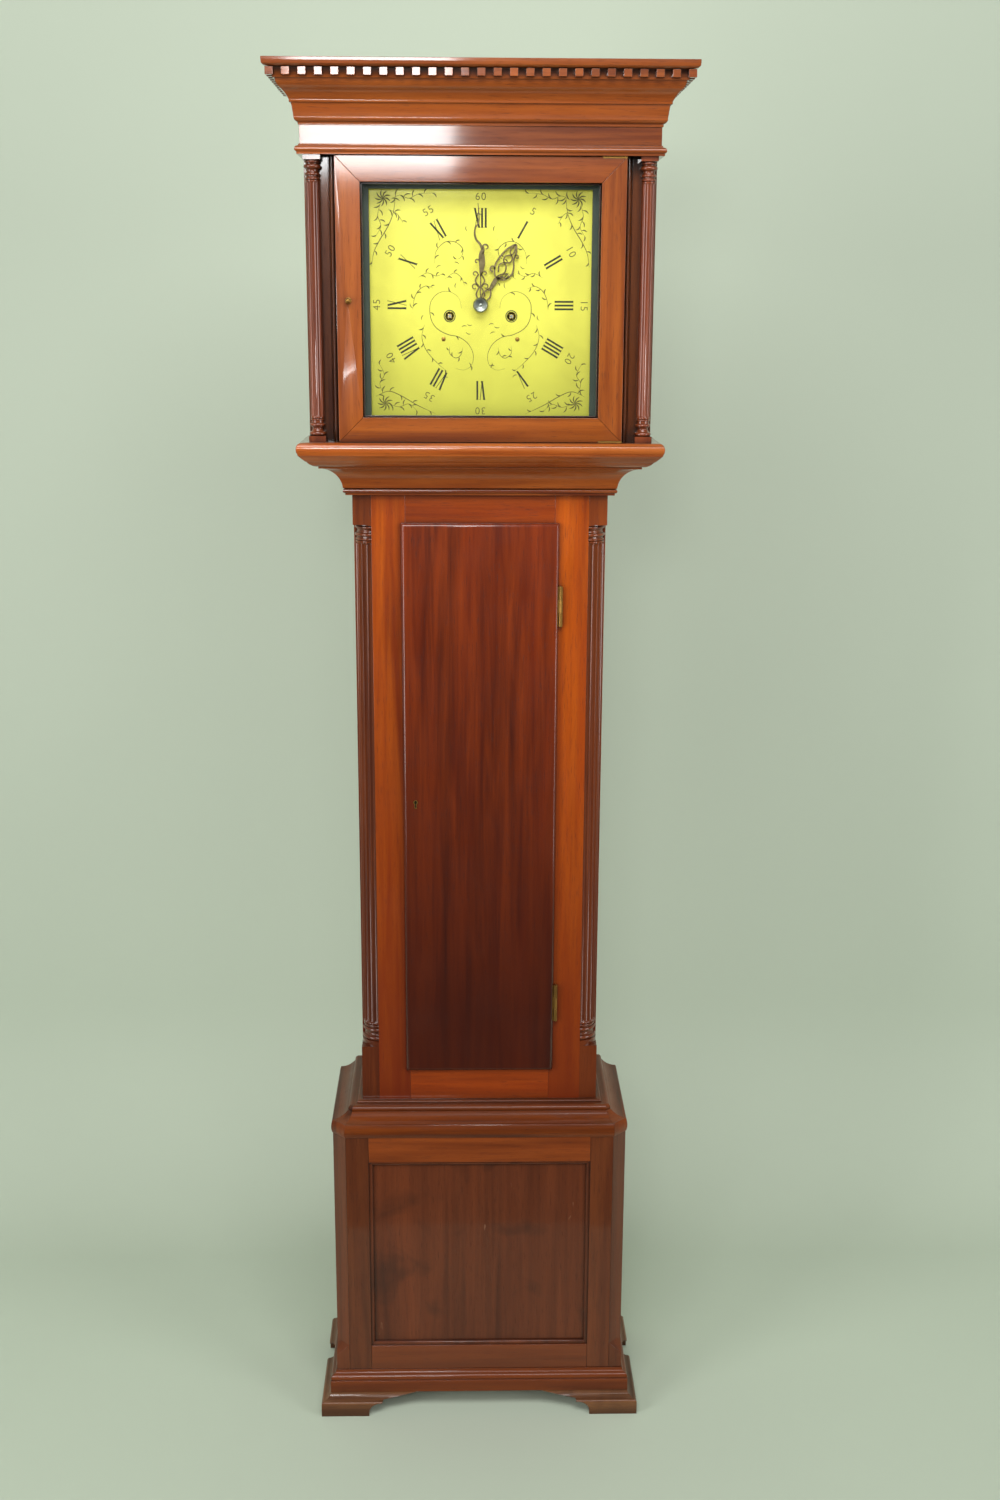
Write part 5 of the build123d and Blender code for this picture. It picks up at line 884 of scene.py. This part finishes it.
def fittings():
    """Knob, hinge knuckles and screws, and a painted shadow in the keyhole."""
    low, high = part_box("hood_door_knob")
    centre = (low + high) / 2
    shape = bmesh.new()
    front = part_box("hood_door_frame")[0].y
    profile = [(4.2, 0), (4.2, 0.8), (2.6, 1.6), (2.2, 2.8)] + arc((0, 5.8), 3.7, -40, 90, 10)
    lathe(shape, (centre.x, front, centre.z), FRONT, in_mm(profile), 36)
    lathe(shape, (centre.x, front, centre.z), BACK, in_mm([(1.4, 0), (1.4, 7), (0, 7.4)]), 16)
    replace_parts(mesh_piece("hood_knob_turned", shape, "hood_door", [OLD_BRASS], 40), "hood_door_knob")
    coated("hood_door_hinges", OLD_BRASS)
    for node in ("trunk_hinges_case", "trunk_hinges_door"):
        eased_copy(node, OLD_BRASS, 0.00025)
    coated("trunk_lock", OLD_BRASS)
    coated("lock_bolt", STEEL)
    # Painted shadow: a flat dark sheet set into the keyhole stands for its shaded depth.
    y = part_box("trunk_lock")[0].y + 4.6 * MM
    x, z, radius = -94.4, 993.0, 2.1  # the keyhole's round top, in millimetres
    turns = [radians(-60 + 300 * i / 20) for i in range(21)]
    outline = [(x + radius * cos(a), z + radius * sin(a)) for a in turns]
    outline += [(x - 0.8, z - 8.4), (x + 0.8, z - 8.4)]
    shape = bmesh.new()
    shape.faces.new([shape.verts.new((across * MM, y, rise * MM)) for across, rise in outline])
    mesh_piece("keyhole_shadow", shape, "trunk_door", [KEYHOLE_PAINTED_SHADOW])


def eased_copy(node, material, width):
    """A metal node again with its hard edges broken."""
    obj = mesh_piece(node + "_worked", cleaned(node), body_of(node), [material], 30)
    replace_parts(obj, node)
    return eased(obj, width, 1)


def glass_bead():
    """The thin dark bead that holds the pane, seen just inside the door's frame."""
    low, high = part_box("hood_door_frame")
    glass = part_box("hood_glass")
    half, rail = 159.5 * MM, 33 * MM
    centre_z = (low.z + high.z) / 2
    half_z = (high.z - low.z) / 2 - rail
    y0, y1 = glass[0].y - 3.2 * MM, glass[0].y - 0.1 * MM
    width = 2.6 * MM
    shape = bmesh.new()
    inner, inner_z = half - width, half_z - width
    corners = [((-half, -half_z), (half, -half_z), (inner, -inner_z), (-inner, -inner_z)),
               ((half, -half_z), (half, half_z), (inner, inner_z), (inner, -inner_z)),
               ((half, half_z), (-half, half_z), (-inner, inner_z), (inner, inner_z)),
               ((-half, half_z), (-half, -half_z), (-inner, -inner_z), (-inner, inner_z))]
    for quad in corners:
        prism(shape, [(x, 0, centre_z + z) for x, z in quad], (0, y0, 0), (0, y1 - y0, 0))
    obj = mesh_piece("glass_bead", shape, "hood_door", [DARK_BEAD], 30)
    eased(obj, 0.0009, 3)


# The movement, pendulum and weights

LINE_TURNS, TURN_STEPS = 13, 28
LINE_START, LINE_PITCH = 3.0 * MM, 1.7 * MM
BARREL_REACH, TURN_GAUGE = 22.75 * MM, 0.78 * MM  # to the line's centre, and half the line's thickness


def tube(shape, path, gauge, sides):
    """A round line along (centre, outward) pairs, its outward directions level with the x and z axes."""
    rings = []
    for centre, out in path:
        rings.append([shape.verts.new(centre + out * gauge * cos(a) + Vector((0, gauge * sin(a), 0)))
                      for a in [2 * pi * k / sides for k in range(sides)]])
    skin(shape, rings)


def wound_line(train, x, z):
    """Turns of gut laid side by side on a barrel."""
    path = []
    for i in range(LINE_TURNS * TURN_STEPS + 1):
        turn = 2 * pi * i / TURN_STEPS
        out = Vector((cos(turn), 0, sin(turn)))
        path.append((Vector((x, LINE_START + LINE_PITCH * i / TURN_STEPS, z)) + out * BARREL_REACH, out))
    shape = bmesh.new()
    tube(shape, path, TURN_GAUGE, 6)
    mesh_piece(train + "_line_turns", shape, train + "_barrel", [GUT], 60)


def weight_line(train):
    """The two falls of a line, and the turn under the pulley."""
    low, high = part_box(train + "_line")
    gauge = (high.y - low.y) / 2
    middle = (low + high) / 2
    shape = bmesh.new()
    for x in (low.x + gauge, high.x - gauge):
        lathe(shape, (x, middle.y, low.z), UP, [(gauge, 0), (gauge, high.z - low.z)], 10)
    falls = mesh_piece(train + "_line_falls", shape, body_of(train + "_line"), [GUT], 60)
    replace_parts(falls, train + "_line")
    run = next(joint for joint in frame["joints"] if joint["name"] == train + "_weight_run")["range_m"][1]
    1 - run / (high.z - low.z)
    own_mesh(falls)
    reach = (high.x - low.x) / 2 - gauge
    path = []
    for i in range(25):
        turn = pi + pi * i / 24
        out = Vector((cos(turn), 0, sin(turn)))
        path.append((Vector((middle.x, middle.y, low.z)) + out * reach, out))
    shape = bmesh.new()
    tube(shape, path, gauge, 10)
    mesh_piece(train + "_line_loop", shape, body_of(train + "_line"), [GUT], 60)


def pendulum_bob():
    """A domed brass bob above its knurled rating nut."""
    low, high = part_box("pendulum_bob")
    radius = (high.x - low.x) / 2
    thick = high.y - low.y
    centre = Vector(((low.x + high.x) / 2, (low.y + high.y) / 2, high.z - radius))
    shares = [-1 + 2 * i / 24 for i in range(25)]
    dome = [(radius * (1 - abs(share) ** 2.2) ** 0.5, share * thick / 2) for share in shares]
    shape = bmesh.new()
    lathe(shape, centre, BACK, dome, 72)
    top = centre.z - radius - 0.3 * MM
    knurls = [(9 - 0.35 * (i % 2), -1.2 - i * 0.6) for i in range(12)]
    nut = [(0, 0), (8.2, 0), (9, -0.8)] + knurls + [(8.2, -9), (0, -9)]
    lathe(shape, (centre.x, centre.y, top), UP, in_mm(nut), 48)
    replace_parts(mesh_piece("pendulum_bob_turned", shape, "pendulum", [BRASS], 35), "pendulum_bob")


def bell():
    """A cast bell with a waisted side and an even wall."""
    low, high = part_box("bell")
    radius, rise, wall = (high.x - low.x) / 2, high.z - low.z, 2.3 * MM
    middle = ((low.x + high.x) / 2, (low.y + high.y) / 2, low.z)
    outer = [(radius, 0), (radius - 1.2 * MM, 3 * MM)] + \
        [(radius * (0.96 - 0.3 * s ** 2.4) * (1 - s ** 5) ** 0.5, rise * (0.12 + 0.88 * s)) for s in
         [i / 12 for i in range(13)]]
    inner = [(max(r - wall, 0.0), max(z - wall, 0.0)) for r, z in reversed(outer[:-1])]
    shape = bmesh.new()
    lathe(shape, middle, UP, outer + [(0, rise)], 64)
    lathe(shape, middle, UP, [(0, rise - wall)] + inner + [(radius, 0)], 64)
    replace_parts(mesh_piece("bell_cast", shape, "case", [BELL_METAL], 40), "bell")


def movement():
    """Finishes for the movement, and turned shapes for the round pieces."""
    for node in ("going_great_wheel", "strike_great_wheel", "centre_wheel", "third_wheel", "escape_wheel",
                 "pin_wheel", "cannon_wheel", "minute_wheel", "hour_wheel", "going_barrel", "strike_barrel",
                 "movement_plates", "movement_cocks", "movement_pillars"):
        coated(node, MOVEMENT_BRASS)
    for node in ("anchor", "hammer", "pendulum_rod"):
        coated(node, STEEL)
    coated("line_tops", GUT)
    for train, side in TRAINS:
        weight_line(train)
        coated(train + "_pulley", BRASS)
    pendulum_bob()
    bell()
    for train, side in TRAINS:
        eased_copy(train + "_weight", BRASS, 0.0006)
    for train, side in TRAINS:
        wound_line(train, side * WINDING_SIDE * MM, DIAL_CENTRE.z - WINDING_DROP * MM)


# Assembly

def case_and_hood():
    """Every wooden piece with its own timber."""
    for node in ("cornice", "dentils", "hood_frieze", "hood_sides", "hood_posts"):
        boards(node, CASE_WOOD, 0.0005 if node == "dentils" else 0.0007)
    for node in ("hood_base", "throat_moulding"):
        boards(node, HOOD_BASE_WOOD, 0.0007)
    boards("hood_door_frame", HOOD_DOOR_WOOD, 0.0012)
    for node in ("trunk_frame", "trunk_sides"):
        boards(node, TRUNK_WOOD, 0.0004)
    for node in ("plinth_frame", "plinth_sides"):
        boards(node, PLINTH_WOOD, 0.0006)
    for node in ("plinth_moulding", "base_moulding"):
        boards(node, MOULD_WOOD, 0.0006)
    boards("bracket_feet", FOOT_WOOD, 0.0009)
    boards("plinth_panel", dict.fromkeys("xyz", PANEL_WOOD), 0.0004)
    boards("trunk_door", DOOR_WOOD, 0.0004)
    for node in ("backboard", "seat_board", "bottom_board", "hood_top"):
        boards(node, OAK, 0.0008)
    coated("dial_mask", MASK_PAINT)
    coated("hood_glass", GLASS)
    coated("dial_plate", DIAL_BRASS)


# The room

CAMERA_ROLL = 0.25
ROOM_LIGHT = 0.1
PAPER = colour(186, 197, 178)
# Each lamp's name, place, aim, size and power
LIGHTS = (
    ("window", (-0.3, -3.3, 2.35), (0.0, 0.0, 1.7), (0.5, 0.5), 22.0),
    ("overhead", (0.0, -2.2, 3.5), (0.0, 0.1, 1.0), (2.6, 1.2), 78.0),
    ("left_box", (-2.6, -2.0, 1.5), (0.0, 0.1, 1.1), (1.3, 2.4), 58.0),
    ("right_box", (2.7, -1.9, 1.4), (0.0, 0.1, 1.0), (1.2, 2.2), 46.0),
)


def stage_material(name, tone):
    """Faintly cloudy paper, seen only from its front."""
    finish = Finish(name)
    cloudy = finish.noise(finish.place(), 0.8, 3.0).between(0.3, 0.7)
    shade = tuple(c * 0.9 for c in tone[:3]) + (1.0,)
    body = finish.mixed(cloudy * 0.5, tone, shade)
    paper = finish.node("ShaderNodeBsdfPrincipled", {}, {"Base Color": body, "Roughness": 0.9})
    clear = finish.node("ShaderNodeBsdfTransparent", {}, {})
    from_behind = finish.node("ShaderNodeNewGeometry", {}, {}, "Backfacing")
    finish.output(finish.node("ShaderNodeMixShader", {}, {0: from_behind, 1: paper, 2: clear}))
    return finish.material


def studio():
    """Pale seamless paper, soft light and the camera."""
    wall_y, front_y, bend, height, half = 0.72, -0.62, 0.35, 4.5, 3.2
    shape = bmesh.new()
    path = [(front_y, 0.0), (wall_y - bend, 0.0)]
    path += [(wall_y - bend + bend * sin(radians(a)), bend - bend * cos(radians(a))) for a in range(10, 91, 10)]
    path += [(wall_y, height)]
    rows = [[shape.verts.new((x, y, z)) for x in (-half, half)] for y, z in path]
    skin(shape, rows, False)
    mesh = bpy.data.meshes.new("paper_backdrop")
    shape.to_mesh(mesh)
    shape.free()
    for face in mesh.polygons:
        face.use_smooth = True
    paper = linked("paper_backdrop", mesh)
    mesh.materials.append(stage_material("backdrop_paper", PAPER))
    for name, place, aim, size, power in LIGHTS:
        light = bpy.data.lights.new(name, "AREA")
        light.shape = "RECTANGLE"
        light.size, light.size_y = size
        light.energy = power
        lamp = linked(name, light)
        lamp.visible_camera = False
        lamp.location = place
        lamp.rotation_mode = "QUATERNION"
        lamp.rotation_quaternion = (Vector(aim) - Vector(place)).to_track_quat("-Z", "Y")
    world = bpy.data.worlds.new("room")
    bpy.context.scene.world = world
    room = Finish("room", world)
    seen = room.node("ShaderNodeLightPath", {}, {}, "Is Camera Ray")
    through_glass = room.node("ShaderNodeLightPath", {}, {}, "Is Transmission Ray")
    gloss = room.node("ShaderNodeLightPath", {}, {}, "Is Glossy Ray")
    behind = room.part_of(room.node("ShaderNodeTexCoord", {}, {}, "Generated"), "Y").between(-0.1, 0.3)
    shown = (seen + through_glass + gloss * behind).between(0.0, 1.0)
    tone = room.mixed(shown, (0.93, 0.98, 0.92, 1.0), PAPER)
    strength = ROOM_LIGHT + shown * (1 - ROOM_LIGHT)
    room.output(room.node("ShaderNodeBackground", {}, {"Color": tone, "Strength": strength}),
                "ShaderNodeOutputWorld")
    view = bpy.data.cameras.new("camera")
    view.lens = 40.8
    view.sensor_width = 36.0
    camera = linked("camera", view)
    camera.location = (-0.024, -2.439, 1.6991)
    camera.rotation_mode = "QUATERNION"
    sight = Vector((0.0215, 0.9673, -0.2527)).to_track_quat("-Z", "Y")
    roll = Matrix.Rotation(radians(CAMERA_ROLL), 4, "Z").to_quaternion()
    camera.rotation_quaternion = sight @ roll
    bpy.context.scene.camera = camera
    bpy.context.scene.view_settings.view_transform = "Standard"


case_and_hood()
hood_columns()
quarter_columns()
dial_engraving()
minute_figures()
hands()
glass_bead()
fittings()
movement()
studio()
